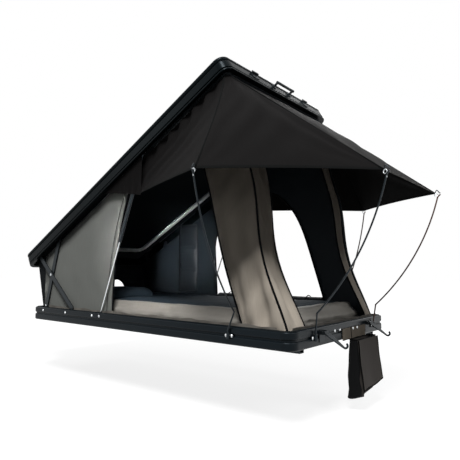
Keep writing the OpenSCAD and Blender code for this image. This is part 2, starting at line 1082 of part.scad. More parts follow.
module shoe_bag_flap() {
    flap_h = 62;
    color(taupe)
        translate([half_l, flap_y - flap_w / 2, bag_top + seat_clear])
            cube([flap_t, flap_w, flap_h]);
}

// The bag's side view: a wedge that deepens to its foot, half of it under the rail
module bag_wedge(inset) {
    foot_z = bag_top - bag_h + inset;
    mouth_z = bag_top + inset;
    toe = 24;
    polygon([
        [bag_x - bag_mouth / 2 + inset, mouth_z], [bag_x - bag_d / 2 + inset, foot_z],
        [bag_x + bag_d / 2 - toe, foot_z], [bag_x + bag_d / 2 - inset, foot_z + toe],
        [bag_x + bag_mouth / 2 - inset, mouth_z]
    ]);
}

// An open wedge-shaped bag that hangs from its flap
module shoe_bag() {
    cloth = 4;
    color(bag_brown)
        translate([0, bag_y + bag_w / 2, 0])
            rotate([90, 0, 0])
                difference() {
                    linear_extrude(bag_w)
                        bag_wedge(0);
                    translate([0, 0, cloth])
                        linear_extrude(bag_w - 2 * cloth)
                            bag_wedge(cloth);
                }
}

// Canvas walls

sill_z = base_top + 42;
hem_n = -2;
wall_in = canvas_in + canvas_t + seat_clear;
wall_front_foot = [-half_l + canvas_in, floor_top + seat_clear];
wall_front_head = lid_point(canvas_in, hem_n);
wall_rear_foot = [half_l - canvas_in, floor_top + seat_clear];
wall_rear_head = lid_point(shell_l - canvas_in, hem_n);
wall_lean = atan2(wall_rear_foot[0] - wall_rear_head[0], wall_rear_head[1] - wall_rear_foot[1]);
wall_run = norm(wall_rear_head - wall_rear_foot);
door_rear = [door_rear_x, floor_top + seat_clear];
door_front = [door_front_x, floor_top + seat_clear];
edge_steps = 14;

// The door's two edges as they run up each side wall
front_edge = arc_run(door_front, door_front + [10, 460], lid_point(1340, hem_n), edge_steps);
rear_edge = arc_run(door_rear, door_rear + [-125, 400], lid_point(1800, hem_n), edge_steps);

module side_wall() {
    near_plate(canvas_in, canvas_t)
        children();
}

module wall_near_front() {
    color(grey_canvas)
        side_wall()
            polygon(concat([wall_front_head, wall_front_foot], front_edge));
}

module wall_near_rear() {
    color(taupe)
        side_wall()
            polygon(concat([wall_rear_head, wall_rear_foot], rear_edge));
}

// The far wall, with an arched door cut through it
module wall_far() {
    crown_z = base_z + 933;
    door_foot = [door_front[0] - 30, sill_z];
    door_left = [door_front[0] - 55, base_z + 540];
    door_crown = [door_rear[0] - 495, crown_z];
    door_end = [door_rear[0] - 75, sill_z + 18];
    color(grey_canvas)
        far_side()
            side_wall()
                difference() {
                    polygon([wall_front_head, wall_front_foot, wall_rear_foot, wall_rear_head]);
                    polygon(concat(
                        arc_run(door_foot, door_foot + [-12, 200], door_left, edge_steps),
                        arc_run(door_left, [door_left[0] + 40, crown_z], door_crown, edge_steps),
                        arc_run(door_crown, door_crown + [255, -55], door_end, edge_steps)
                    ));
                }
}

// The front wall, with a small arched window cut through it
module wall_front() {
    window_w = 160;
    window_y = 208;
    window_rise = 48;
    window_z = base_top + 65;
    color(charcoal)
        difference() {
            translate([0, half_w - wall_in, 0])
                rotate([90, 0, 0])
                    linear_extrude(shell_w - 2 * wall_in)
                        polygon([
                            wall_front_foot, wall_front_foot + [canvas_t, 0],
                            wall_front_head + [canvas_t, 0], wall_front_head
                        ]);
            translate([lid_x, window_y, window_z])
                rotate([90, 0, 90])
                    linear_extrude(lid_lead + canvas_in + window_w) {
                        translate([-window_w / 2, 0])
                            square([window_w, window_rise]);
                        translate([0, window_rise])
                            intersection() {
                                circle(window_w / 2);
                                translate([-window_w / 2, 0])
                                    square(window_w);
                            }
                    }
        }
}

// Lays an outline with x across and y up the slope on the leaning rear plane
module rear_wall() {
    translate([wall_rear_foot[0], 0, wall_rear_foot[1]])
        rotate([0, -wall_lean, 0])
            translate([-canvas_t, 0, 0])
                rotate([90, 0, 90])
                    linear_extrude(canvas_t)
                        children();
}

module wall_rear_near() {
    side_y = -half_w + wall_in;
    color(taupe)
        rear_wall()
            polygon(concat(
                [[side_y, wall_run - 5], [side_y, 2]],
                arc_run(
                    [side_y + jamb_near, 2], [side_y + jamb_near * 0.35, wall_run * 0.4],
                    [side_y + jamb_near * 1.3, wall_run - 5], edge_steps
                )
            ));
}

// The narrow strip of the far rear corner, drawn in at its middle
module wall_rear_far() {
    side_y = half_w - wall_in;
    draw_in = 90;
    color(taupe)
        rear_wall()
            polygon(concat(
                arc_run([side_y, 2], [side_y - draw_in, wall_run * 0.4], [side_y, wall_run - 5], edge_steps),
                arc_run(
                    [side_y - jamb_far * 1.6, wall_run - 5],
                    [side_y - jamb_far - draw_in, wall_run * 0.4],
                    [side_y - jamb_far, 2], edge_steps
                )
            ));
}

// The far door's cloth, rolled down onto the rail
module far_door_roll() {
    roll_from = door_front[0] - 40;
    rod_room = 70;
    color(charcoal)
        translate([roll_from, half_w - 15, base_top + seal_h + roll_r + seat_clear])
            rotate([0, 90, 0])
                cylinder(h = door_l - rod_room, r = roll_r);
}

// A hanging strip with three pockets on the far wall
module organiser() {
    strip_w = 200;
    strip_h = 560;
    pocket_h = 150;
    pocket_d = 22;
    translate([-625, half_w - wall_in, base_top + 95])
        rotate([90, 0, 0])
            color(slate) {
                linear_extrude(canvas_t)
                    rounded(strip_w, strip_h, 12);
                for (i = [0 : 2])
                    translate([10, 10 + i * (pocket_h + 35), 0])
                        linear_extrude(pocket_d)
                            rounded(strip_w - 20, pocket_h, 18);
            }
}

// Canopy

batten_t = 6;
batten_n = 0.3;
batten_from = strut_top_u + 75;
seam = 7;
canopy_n = -canopy_t / 2 - seat_clear;
canopy_in = wall_t + (canvas_in - wall_t) / 2;
corner_cut = 14;
rear_rise = 2;
gusset_rise = 1.7;
side_rise = 0.5;

// Strips inside the lid's walls that the canopy and the walls hang from
module canopy_battens() {
    strip_in = wall_t + seat_clear;
    free_in = canvas_in - seat_clear;
    color(trim_black)
        in_lid()
            translate([0, -half_w, batten_n])
                linear_extrude(batten_t)
                    difference() {
                        translate([strip_in, strip_in])
                            rounded(shell_l - 2 * strip_in, shell_w - 2 * strip_in, corner_r - strip_in);
                        translate([0, free_in])
                            square([shell_l - free_in, shell_w - 2 * free_in]);
                        square([batten_from, shell_w]);
                    }
}

function lid_3d(u, y, n) = [lid_point(u, n)[0], y, lid_point(u, n)[1]];
function unit(v) = v / norm(v);

// A closed sheet between four corners: sagging between its edges, its lower hem drawn up by an arch
module sheet(a, b, c, d, sag, arch, cols, rows) {
    up = unit(cross(b - a, d - a));
    hem_up = unit((a + b) / 2 - (c + d) / 2);
    mid = [for (j = [0 : rows], i = [0 : cols])
        let (s = i / cols, t = j / rows)
        mix(mix(a, b, s), mix(d, c, s), t)
            - up * sag * sin(180 * s) * sin(180 * t)
            + hem_up * arch * t * sin(180 * s)
    ];
    count = len(mid);
    row = cols + 1;
    points = concat(
        [for (p = mid) p + up * canopy_t / 2],
        [for (p = mid) p - up * canopy_t / 2]
    );
    cells = [for (j = [0 : rows - 1], i = [0 : cols - 1]) j * row + i];
    rim = concat(
        [for (i = [0 : cols]) i],
        [for (j = [1 : rows]) j * row + cols],
        [for (i = [1 : cols]) rows * row + cols - i],
        [for (j = [1 : rows - 1]) (rows - j) * row]
    );
    faces = concat(
        [for (k = cells) [k, k + row, k + row + 1]],
        [for (k = cells) [k, k + row + 1, k + 1]],
        [for (k = cells) [count + k, count + k + row + 1, count + k + row]],
        [for (k = cells) [count + k, count + k + 1, count + k + row + 1]],
        [for (i = [0 : len(rim) - 1])
            let (p = rim[i], q = rim[(i + 1) % len(rim)])
            [p, q, count + q]],
        [for (i = [0 : len(rim) - 1])
            let (p = rim[i], q = rim[(i + 1) % len(rim)])
            [p, count + q, count + p]]
    );
    polyhedron(points, faces, convexity = 6);
}

side_to = lid_3d(shell_l - canopy_in - corner_cut, -half_w + canopy_in, canopy_n + gusset_rise);
rear_from = lid_3d(shell_l - canopy_in, -half_w + canopy_in + corner_cut, canopy_n + gusset_rise);
cross_seam = [0, seam, 0];
along_seam = [seam, 0, 0];

function flip(p) = [p[0], -p[1], p[2]];

module canopy_rear() {
    hung = lid_3d(shell_l - canopy_in, -half_w + canopy_in + corner_cut + seam, canopy_n + rear_rise);
    color(charcoal)
        sheet(hung, flip(hung), flip(rear_tip) - cross_seam, rear_tip + cross_seam, 18, 14, 24, 12);
}

module canopy_gusset() {
    color(charcoal)
        sheet(
            side_to + along_seam, rear_from - cross_seam,
            rear_tip - cross_seam, side_tip + along_seam, 20, 8, 18, 14
        );
}

// The side awning: its front edge drops behind the strut and its hem runs back to the side tip
module canopy_side() {
    front_in = canvas_in - canopy_t / 2 - seat_clear;
    front_u = strut_top_u - 55;
    drop_back = 33;
    hung = lid_3d(front_u, -half_w + front_in, canopy_n + side_rise);
    seamed = lid_3d(shell_l - canopy_in - corner_cut - seam, -half_w + canopy_in, canopy_n + side_rise);
    foot = [hung[0] - drop_back, hung[1], base_z + canopy_z + 18];
    color(charcoal)
        sheet(hung, seamed, side_tip - along_seam, foot, -8, 6, 16, 14);
}

module canopy_gusset_near() {
    canopy_gusset();
}

module canopy_gusset_far() {
    far_side()
        canopy_gusset();
}

module canopy_side_near() {
    canopy_side();
}

module canopy_side_far() {
    far_side()
        canopy_side();
}

base_side_rail_near();
base_side_rail_far();
base_front_rail();
base_rear_rail();
base_corner_castings();
base_floor_panel();
rack_rails();
base_seal();
mattress();
pillow();
scissor_base_brackets();
scissor_foot_ledges();
strut_base_brackets();
latch_plates();
rod_sockets();
inner_arm_near();
inner_arm_far();
scissor_cross_pins();
outer_arm_near();
outer_arm_far();
lid_side_rail_near();
lid_side_rail_far();
lid_front_rail();
lid_rear_rail();
lid_corner_castings();
lid_roof_panel();
lid_liner();
lid_hoop();
lid_handle();
latch_keepers();
lid_scissor_brackets();
lid_slide_channels();
lid_strut_studs();
strut_rod_near();
strut_rod_far();
strut_cylinder_near();
strut_cylinder_far();
latch_lever_near();
latch_lever_far();
shoe_bag();
shoe_bag_flap();
wall_near_front();
wall_near_rear();
wall_far();
wall_front();
wall_rear_near();
wall_rear_far();
far_door_roll();
organiser();
canopy_battens();
canopy_rear();
canopy_gusset_near();
canopy_gusset_far();
canopy_side_near();
canopy_side_far();
awning_rod_side_near();
awning_rod_side_far();
awning_rod_rear_near();
awning_rod_rear_far();
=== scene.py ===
import bmesh
import bpy
import numpy as np
from mathutils import Matrix, Vector, noise
from mathutils.geometry import delaunay_2d_cdt
from numpy import array, clip, cos, linspace, pi, sin
from numpy.linalg import norm


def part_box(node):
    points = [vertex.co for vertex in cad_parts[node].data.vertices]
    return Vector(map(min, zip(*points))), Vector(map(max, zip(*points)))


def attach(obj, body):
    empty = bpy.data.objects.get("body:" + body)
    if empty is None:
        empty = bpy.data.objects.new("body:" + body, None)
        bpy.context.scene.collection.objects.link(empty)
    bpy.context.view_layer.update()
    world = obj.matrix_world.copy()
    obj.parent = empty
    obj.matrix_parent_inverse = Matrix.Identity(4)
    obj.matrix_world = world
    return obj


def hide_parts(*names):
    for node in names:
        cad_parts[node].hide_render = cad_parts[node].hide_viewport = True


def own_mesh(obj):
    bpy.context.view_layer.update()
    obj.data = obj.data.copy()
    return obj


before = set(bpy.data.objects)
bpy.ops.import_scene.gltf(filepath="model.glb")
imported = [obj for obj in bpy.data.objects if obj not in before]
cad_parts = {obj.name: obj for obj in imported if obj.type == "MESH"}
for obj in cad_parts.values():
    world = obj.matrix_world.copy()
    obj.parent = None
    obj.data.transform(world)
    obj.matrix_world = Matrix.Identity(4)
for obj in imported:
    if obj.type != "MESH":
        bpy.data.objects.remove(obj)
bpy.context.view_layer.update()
scene = bpy.context.scene
scene.view_settings.view_transform = "Standard"

# The camera stands low, off the near rear corner, and looks slightly up at the open tent.
# Lens, place and turn come from fitting the shell's corners in the photograph.
LENS_PX, FRAME_PX, SHIFT_PX, SENSOR = 471.6, 460.0, 25, 36.0
EYE, TURNS = (2.135, -2.45, 0.39), (39.91, 4.73, 0.35)
turn, pitch, roll = np.radians(TURNS)
right = Vector((cos(turn), sin(turn), 0))
ahead = Vector((-sin(turn) * cos(pitch), cos(turn) * cos(pitch), sin(pitch)))
above = right.cross(ahead)
across = right * cos(roll) + above * sin(roll)
upward = above * cos(roll) - right * sin(roll)
lens = bpy.data.cameras.new("camera")
lens.sensor_width, lens.lens = SENSOR, SENSOR * LENS_PX / FRAME_PX
lens.shift_x = SHIFT_PX / FRAME_PX
lens.clip_end = 200
camera = bpy.data.objects.new("camera", lens)
camera.matrix_world = Matrix.Translation(EYE) @ Matrix((across, upward, -ahead)).transposed().to_4x4()
scene.collection.objects.link(camera)
scene.camera = camera

# A pale matt floor just under the hanging bag, in a white studio lit by broad soft boxes.
# The floor reads white to the camera, greyer close to the tent, and takes its shadow.
# To all other rays it is a dull grey, so that little light comes back up under the tent.
FLOOR_Z, FLOOR_HALF = -0.36, 30


def linear(hex_colour):
    """An sRGB hex colour as linear RGBA."""
    parts = [int(hex_colour[i:i + 2], 16) / 255 for i in (1, 3, 5)]
    return tuple(c / 12.92 if c <= 0.04045 else ((c + 0.055) / 1.055) ** 2.4 for c in parts) + (1.0,)


def add(tree, kind, links=None, **settings):
    """One node with its settings; links maps an input to a node (its first output), an output or a value."""
    made = tree.nodes.new(kind)
    for key, value in settings.items():
        setattr(made, key, value)
    for key, value in (links or {}).items():
        value = value.outputs[0] if isinstance(value, bpy.types.Node) else value
        if isinstance(value, bpy.types.NodeSocket):
            tree.links.new(value, made.inputs[key])
        else:
            made.inputs[key].default_value = value
    return made


def new_material(name):
    made = bpy.data.materials.new(name)
    made.use_nodes = True
    made.node_tree.nodes.clear()
    return made, made.node_tree


def piece(name, verts, faces, materials, slots=None, uvs=None):
    """A smooth mesh object at the origin, with its place in its vertices."""
    mesh = bpy.data.meshes.new(name)
    mesh.from_pydata([tuple(v) for v in verts], [], [tuple(f) for f in faces])
    for material in materials:
        mesh.materials.append(material)
    if slots is not None:
        mesh.polygons.foreach_set("material_index", list(slots))
    if uvs is not None:
        layer = mesh.uv_layers.new(name="cloth")
        index = np.empty(len(mesh.loops), int)
        mesh.loops.foreach_get("vertex_index", index)
        layer.data.foreach_set("uv", np.asarray(uvs, float)[index].ravel())
    mesh.polygons.foreach_set("use_smooth", [True] * len(mesh.polygons))
    mesh.update()
    made = bpy.data.objects.new(name, mesh)
    scene.collection.objects.link(made)
    return made


def looked_at(tree):
    """1 for rays that show the studio itself: straight to the camera, mirrored or through glass."""
    rays = add(tree, "ShaderNodeLightPath").outputs
    straight = add(tree, "ShaderNodeMath", {0: rays["Is Camera Ray"], 1: rays["Is Glossy Ray"]}, operation="MAXIMUM")
    return add(tree, "ShaderNodeMath", {0: straight, 1: rays["Is Transmission Ray"]}, operation="MAXIMUM")


floor_paint, tree = new_material("matt studio floor paint")
shade = add(tree, "ShaderNodeBsdfDiffuse", {"Color": linear("#8c8c8c")})
place = add(tree, "ShaderNodeTexCoord").outputs["Object"]
away = add(tree, "ShaderNodeVectorMath", {0: place}, operation="LENGTH").outputs["Value"]
pale = add(tree, "ShaderNodeMapRange", {"Value": away, "From Min": 1.5, "From Max": 6.0, "To Min": 0.84, "To Max": 1.0})
glow = add(tree, "ShaderNodeEmission", {"Color": (1, 1, 1, 1), "Strength": pale})
lit = add(tree, "ShaderNodeAddShader", {0: shade, 1: glow})
dull = add(tree, "ShaderNodeBsdfDiffuse", {"Color": linear("#525252")})
blend = add(tree, "ShaderNodeMixShader", {0: looked_at(tree), 1: dull, 2: lit})
add(tree, "ShaderNodeOutputMaterial", {"Surface": blend})
floor_corners = [(x * FLOOR_HALF, y * FLOOR_HALF, FLOOR_Z) for x, y in ((-1, -1), (1, -1), (1, 1), (-1, 1))]
floor = piece("studio_floor", floor_corners, [(0, 1, 2, 3)], [floor_paint])

scene.world = world = bpy.data.worlds.new("studio")
world.use_nodes = True
tree = world.node_tree
tree.nodes.clear()
ambient = add(tree, "ShaderNodeBackground", {"Color": linear("#eef2f6"), "Strength": 0.1})
backdrop = add(tree, "ShaderNodeBackground", {"Color": (1, 1, 1, 1), "Strength": 1.0})
blend = add(tree, "ShaderNodeMixShader", {0: looked_at(tree), 1: ambient, 2: backdrop})
add(tree, "ShaderNodeOutputWorld", {"Surface": blend})

# Each lamp's place, target, side in metres, watts and spread in degrees; the door box is a narrow beam
# through the near door that picks out the far inner wall.
SOFT_BOXES = {
    "key_box": ((2.3, -3.6, 5.4), (0.3, 0, 0.4), 1.8, 460, 180),
    "left_box": ((-3.4, -4.6, 2.6), (-0.9, 0, 0.4), 2.0, 16, 180),
    "rear_box": ((5.0, 0.2, 4.0), (0.8, 0, 0.3), 2.0, 70, 180),
    "far_box": ((-1.5, 4.8, 3.4), (0, 0, 0.4), 2.4, 110, 180),
    "top_box": ((-0.6, 0.6, 5.2), (0, 0, 0.6), 3.4, 50, 180),
    "door_box": ((1.75, -3.3, 0.5), (-0.52, 0.5, 0.5), 0.3, 2.0, 12),
}
for name, (place, target, side, watts, spread) in SOFT_BOXES.items():
    lamp = bpy.data.lights.new(name, "AREA")
    lamp.shape, lamp.size, lamp.energy, lamp.spread = "SQUARE", side, watts, np.radians(spread)
    holder = bpy.data.objects.new(name, lamp)
    aim = (Vector(target) - Vector(place)).to_track_quat("-Z", "Y")
    holder.matrix_world = Matrix.Translation(place) @ aim.to_matrix().to_4x4()
    scene.collection.objects.link(holder)


# The base tray and the lid frame: extruded aluminium rails and cast corners, powder coated black.
# The coat is satin with a fine orange peel; 0.8 mm lumps are drawn 4 mm wide so that they show.
# The lid's coat is the rails' coat made darker and less reflective, as painted shade; it is a little glossier and its
# lumps are drawn wider, so it mirrors softly.
def shaded(colour, share):
    """A hex colour with its light made less or more by a share."""
    return tuple(c * share for c in linear(colour)[:3]) + (1,)


def powder_coat(name, colour, rough=0.42, lump_mm=4.0, shine=0.35):
    """A thin coat with lumps of a size in mm, clouds of tone and gloss 290 mm wide, and a painted blue tint in its
    reflections.
    """
    made, tree = new_material(name)
    place = add(tree, "ShaderNodeTexCoord").outputs["Object"]
    lumps = add(tree, "ShaderNodeTexNoise", {"Vector": place, "Scale": 1000 / lump_mm, "Detail": 2.0})
    cloud = add(tree, "ShaderNodeTexNoise", {"Vector": place, "Scale": 3.5, "Detail": 3.0})
    tone = add(tree, "ShaderNodeValToRGB", {0: cloud})
    for stop, at, share in zip(tone.color_ramp.elements, (0.3, 0.7), (0.82, 1.15)):
        stop.position, stop.color = at, shaded(colour, share)
    gloss = add(tree, "ShaderNodeMapRange", {"Value": cloud, "To Min": rough - 0.06, "To Max": rough + 0.08})
    peel = add(tree, "ShaderNodeBump", {"Height": lumps, "Strength": 0.12, "Distance": 0.0004})
    # Specular Tint paints a pale blue into the coat's reflections: a painted reflection colour.
    coat = add(tree, "ShaderNodeBsdfPrincipled", {
        "Base Color": tone, "Roughness": gloss, "Normal": peel,
        "IOR": 1.5, "Specular IOR Level": shine, "Specular Tint": linear("#d3e6f2")})
    add(tree, "ShaderNodeOutputMaterial", {"Surface": coat})
    return made


def dress(material, *nodes):
    """Gives CAD nodes a finish in place of their plain colour."""
    for node in nodes:
        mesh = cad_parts[node].data
        mesh.materials.clear()
        mesh.materials.append(material)


rail_coat = powder_coat("black powder coat on extruded aluminium", "#090f13", rough=0.3, shine=0.15)
casting_coat = powder_coat("black powder coat on cast aluminium", "#080c0f", rough=0.36, shine=0.15)
# The lid's darker, less reflective coat is painted shade on the lid's frame.
lid_coat_painted_shade = powder_coat("black gloss coat on extruded aluminium", "#050a0c", rough=0.26, lump_mm=10.0, shine=0.07)
dress(rail_coat, "base_side_rail_near", "base_side_rail_far", "base_front_rail", "base_rear_rail")
dress(lid_coat_painted_shade, "lid_side_rail_near", "lid_side_rail_far", "lid_front_rail", "lid_rear_rail", "lid_corner_castings")
dress(casting_coat, "base_corner_castings")

# The roof, the floor and the liner: flat bonded sandwich panels with a rough, textured black coat.
# The liner inside is a dark needle felt, dull and without a highlight.
roof_coat = powder_coat("textured black coat on sandwich panel", "#101416", rough=0.5, lump_mm=6.0, shine=0.25)
dress(roof_coat, "lid_roof_panel", "base_floor_panel")
liner_felt = powder_coat("dark needle felt", "#0b0e10", rough=0.95, lump_mm=9.0, shine=0.1)
dress(liner_felt, "lid_liner")

# The rack rails under the base are anodised aluminium, with a soft satin highlight.
# The seal round the base's top is extruded rubber, dull and slightly uneven.
rack_coat = powder_coat("black anodised aluminium", "#14181b", rough=0.38)
dress(rack_coat, "rack_rails")
seal_rubber = powder_coat("black extruded rubber", "#0d1012", rough=0.8, lump_mm=5.0, shine=0.2)
dress(seal_rubber, "base_seal")

# The side walls of coated polycotton canvas: a plain front panel and a rear corner panel on the near side,
# and one long far panel with an arched door. The inside is a dark blackout coat.
# Each panel is cut to its outline, hung from the lid's batten and tucked behind the base rail.
HALF_L, HALF_W, BASE_Z, BASE_TOP, FLOOR_TOP = 1.075, 0.58, 0.022, 0.11, 0.045
LID_X, LID_Z, LID_TILT, SHELL_L = -1.168, 0.393, np.radians(29), 2.15
CANVAS_IN, CANVAS_T, PIPING_R = 0.062, 0.0016, 0.0055
FLAT_SHUT, EDGE_FADE = 0.05, 0.05
WAVE_MM = 314.16  # the width of a wave texture's bands at scale 1
SIDES = (("near", -1), ("far", 1))


def lid_at(u, n):
    """A point of the lid's side view: u along it from its front end, n above its lower edge."""
    return array([LID_X + u * cos(LID_TILT) - n * sin(LID_TILT), LID_Z + u * sin(LID_TILT) + n * cos(LID_TILT)])


def arc(p, c, q):
    """A curve from p to q that leans towards c."""
    t = linspace(0, 1, 25)[:, None]
    p, c, q = (array(a, float) for a in (p, c, q))
    return (1 - t) ** 2 * p + 2 * t * (1 - t) * c + t ** 2 * q


def evenly(loop, gap):
    """A closed line with points about gap apart."""
    loop = np.asarray(loop, float)
    out = []
    for a, b in zip(loop, np.roll(loop, -1, axis=0)):
        n = max(1, int(round(norm(b - a) / gap)))
        out.extend(a + (b - a) * i / n for i in range(n))
    return array(out)


def inside(points, loop):
    x, y = points.T
    hit = np.zeros(len(points), bool)
    for a, b in zip(loop, np.roll(loop, -1, axis=0)):
        crosses = (a[1] > y) != (b[1] > y)
        with np.errstate(divide="ignore", invalid="ignore"):
            hit ^= crosses & (x < (b[0] - a[0]) * (y - a[1]) / (b[1] - a[1]) + a[0])
    return hit


def edge_distance(points, loops):
    best = np.full(len(points), 9.0)
    for loop in loops:
        for a, b in zip(loop, np.roll(loop, -1, axis=0)):
            d = b - a
            t = clip(((points - a) @ d) / max(d @ d, 1e-12), 0, 1)
            best = np.minimum(best, norm(points - a - t[:, None] * d, axis=1))
    return best


def skin(verts, normals, faces, thick):
    """Two skins a thickness apart and the rim between them; the first skin faces along the normals."""
    count = len(verts)
    used = dict.fromkeys((a, b) for f in faces for a, b in zip(f, f[1:] + f[:1]))
    rim = [(b, a, a + count, b + count) for a, b in used if (b, a) not in used]
    both = np.vstack([verts + normals * thick / 2, verts - normals * thick / 2])
    back = [tuple(i + count for i in reversed(f)) for f in faces]
    return both, list(faces) + back + rim, [0] * len(faces) + [1] * len(back) + [0] * len(rim)


def creases(points, seed, size):
    """Soft folds of a hung cloth: long upright ones with smaller dimples over them."""
    return size * array([noise.noise(Vector((x * 5.0, y * 1.6, seed)))
                         + 0.45 * noise.noise(Vector((x * 14, y * 9, seed + 5))) for x, y in points])


def cut_panel(name, outline, holes, place, facing, materials, gap=0.03, seed=1.0, size=0.006, folds=None):
    """A cloth panel cut to a flat outline: place hangs its flat points, folds adds a relief of its own."""
    loops = [evenly(loop, gap) for loop in (outline, *holes)]

    def on_cloth(points):
        good = inside(points, loops[0])
        for hole in loops[1:]:
            good &= ~inside(points, hole)
        return good

    low, high = loops[0].min(0), loops[0].max(0)
    field = array([(x, y) for x in np.arange(low[0], high[0], gap) for y in np.arange(low[1], high[1], gap)])
    field = field[on_cloth(field) & (edge_distance(field, loops) > gap * 0.5)]
    points, edges = [], []
    for loop in loops:
        first, n = len(points), len(loop)
        points.extend(Vector(p) for p in loop)
        edges.extend((first + i, first + (i + 1) % n) for i in range(n))
    points.extend(Vector(p) for p in field)
    flat, _, faces = delaunay_2d_cdt(points, edges, [], 0, 1e-7)[:3]
    flat = array([tuple(p) for p in flat])
    good = on_cloth(array([flat[list(f)].mean(0) for f in faces]))
    faces = [tuple(f) for f, g in zip(faces, good) if g]
    hung = array([place(*p) for p in flat], float)
    out = array(facing, float) / norm(facing)
    a, b, c = (hung[i] for i in faces[0])
    if np.cross(b - a, c - a) @ out < 0:
        faces = [tuple(reversed(f)) for f in faces]
    fade = clip(edge_distance(flat, loops) / EDGE_FADE, 0, 1)
    relief = creases(flat, seed, size) + (folds(*flat.T) if folds else 0)
    hung += out * (relief * fade)[:, None]
    area = sum(0.5 * norm(np.cross(*(flat[list(f)][1:] - flat[f[0]]))) for f in faces)
    verts, faces, slots = skin(hung, np.tile(out, (len(hung), 1)), faces, CANVAS_T)
    made = piece(name, verts, faces, materials, slots, np.vstack([flat, flat]))
    made["flat_area"] = float(area)
    made["flat_width"], made["flat_length"] = (float(v) for v in flat.max(0) - flat.min(0))
    return made


def tubes(name, paths, radius, material, sides=8):
    """Round tubes along several paths, as one piece."""
    verts, faces = [], []
    for path in paths:
        path, first, last = np.asarray(path, float), len(verts), len(path) - 1
        way = np.roll(path, -1, 0) - np.roll(path, 1, 0)
        way[0], way[-1] = path[1] - path[0], path[-1] - path[-2]
        way /= norm(way, axis=1)[:, None]
        side = np.cross(way[0], (0, 0, 1) if abs(way[0][2]) < 0.9 else (1, 0, 0))
        for centre, along in zip(path, way):
            side = side - along * (side @ along)
            side /= norm(side)
            up = np.cross(along, side)
            turns = (2 * pi * k / sides for k in range(sides))
            verts.extend(centre + radius * (cos(a) * side + sin(a) * up) for a in turns)
        for low in range(first, first + last * sides, sides):
            ring = [(low + k, low + (k + 1) % sides) for k in range(sides)]
            faces.extend((k, m, m + sides, k + sides) for k, m in ring)
        faces.append(tuple(first + k for k in reversed(range(sides))))
        faces.append(tuple(first + last * sides + k for k in range(sides)))
    return piece(name, verts, faces, [material])


def canvas(name, colour, thread_mm=5.0, contrast=0.1, rough=0.85, shine=0.15, sheen=0.03):
    """Woven canvas on the cloth's own UV in metres: 0.5 mm threads are drawn 5 mm wide so that they show.
    Slubs about 4 by 70 mm and patches of wear 250 mm wide give it an uneven, dry look."""
    made, tree = new_material(name)
    cloth = add(tree, "ShaderNodeUVMap", uv_map="cloth")
    warp, weft = (
        add(tree, "ShaderNodeTexWave", {"Vector": cloth, "Scale": WAVE_MM / thread_mm, "Distortion": 0.6},
            wave_type="BANDS", bands_direction=way).outputs["Fac"] for way in "XY")
    weave = add(tree, "ShaderNodeMath", {0: warp, 1: weft}, operation="MULTIPLY")
    slub_way = add(tree, "ShaderNodeMapping", {"Vector": cloth, "Scale": (260, 14, 1)})
    slub = add(tree, "ShaderNodeTexNoise", {"Vector": slub_way, "Scale": 1.0, "Detail": 2.0})
    wear = add(tree, "ShaderNodeTexNoise", {"Vector": cloth, "Scale": 4.0, "Detail": 4.0})
    mixed = add(tree, "ShaderNodeMath", {0: slub, 1: wear}, operation="ADD")
    tone = add(tree, "ShaderNodeMapRange", {"Value": mixed, "From Min": 0.6, "From Max": 1.4})
    ramp = add(tree, "ShaderNodeValToRGB", {0: tone})
    for stop, share in zip(ramp.color_ramp.elements, (1 - contrast, 1 + contrast)):
        stop.color = shaded(colour, share)
    grain = add(tree, "ShaderNodeBump", {"Height": weave, "Strength": 0.25, "Distance": 0.0006})
    shader = add(tree, "ShaderNodeBsdfPrincipled", {
        "Base Color": ramp, "Roughness": rough, "Normal": grain, "Sheen Weight": sheen,
        "IOR": 1.45, "Specular IOR Level": shine})
    add(tree, "ShaderNodeOutputMaterial", {"Surface": shader})
    return made


def lay_flat(made, *nodes, axis=(0, 0, 1), anchor=(0, 0, FLOOR_TOP), keep=FLAT_SHUT, body="base"):
    """Rides a body and stands for its solid."""
    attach(made, body)
    if nodes:
        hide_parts(*nodes)
    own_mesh(made)


def hang(made, held, slot, *nodes, **fold):
    lay_flat(made, *nodes, **fold)


def bind(name, lines, radius, slot, sides=8, **fold):
    """Black binding along the edges of a cloth."""
    made = tubes(name, lines, radius, black_piping, sides)
    lay_flat(made, **fold)


grey_canvas = canvas("grey polycotton canvas", "#777975")
taupe_canvas = canvas("taupe polycotton canvas", "#a79e92")
black_piping = canvas("black woven binding", "#08090b", thread_mm=4.0, shine=0.06, sheen=0.0)
blackout = canvas("dark blackout coating", "#1b2126", contrast=0.06, rough=0.6, shine=0.2, sheen=0.0)

HEM_N = -0.002
near_y, far_y = -HALF_W + CANVAS_IN, HALF_W - CANVAS_IN
door_front, door_rear = array([-0.235, FLOOR_TOP]), array([0.775, FLOOR_TOP])
front_edge = arc(door_front, door_front + [-0.02, 0.49], lid_at(1.29, HEM_N))
rear_edge = arc(door_rear, door_rear + [-0.125, 0.4], lid_at(1.8, HEM_N))
wall_front_x = -HALF_L + CANVAS_IN
front_foot = array([wall_front_x, FLOOR_TOP])
front_top = lid_at((wall_front_x - LID_X) / cos(LID_TILT), HEM_N)
rear_foot, rear_head = array([HALF_L - CANVAS_IN, FLOOR_TOP]), lid_at(SHELL_L - CANVAS_IN, HEM_N)
SWELL, SWELL_TURN, SWELL_REACH = 0.023, 0.6, 0.4


def drawn(x, z):
    """The loose rear corners flare at the foot, are drawn in a third of the way up and swell under the canopy."""
    t = clip((z - FLOOR_TOP) / (rear_head[1] - FLOOR_TOP), 0, 1)
    corner = rear_foot[0] + (rear_head[0] - rear_foot[0]) * t
    swell = cos(2 * pi * t / SWELL_TURN) if t < SWELL_TURN else (1 - t) / (1 - SWELL_TURN)
    return x + SWELL * swell * clip(1 - (corner - x) / SWELL_REACH, 0, 1)


def near_side(x, z):
    return drawn(x, z), near_y, z


def far_side(x, z):
    return drawn(x, z), far_y, z


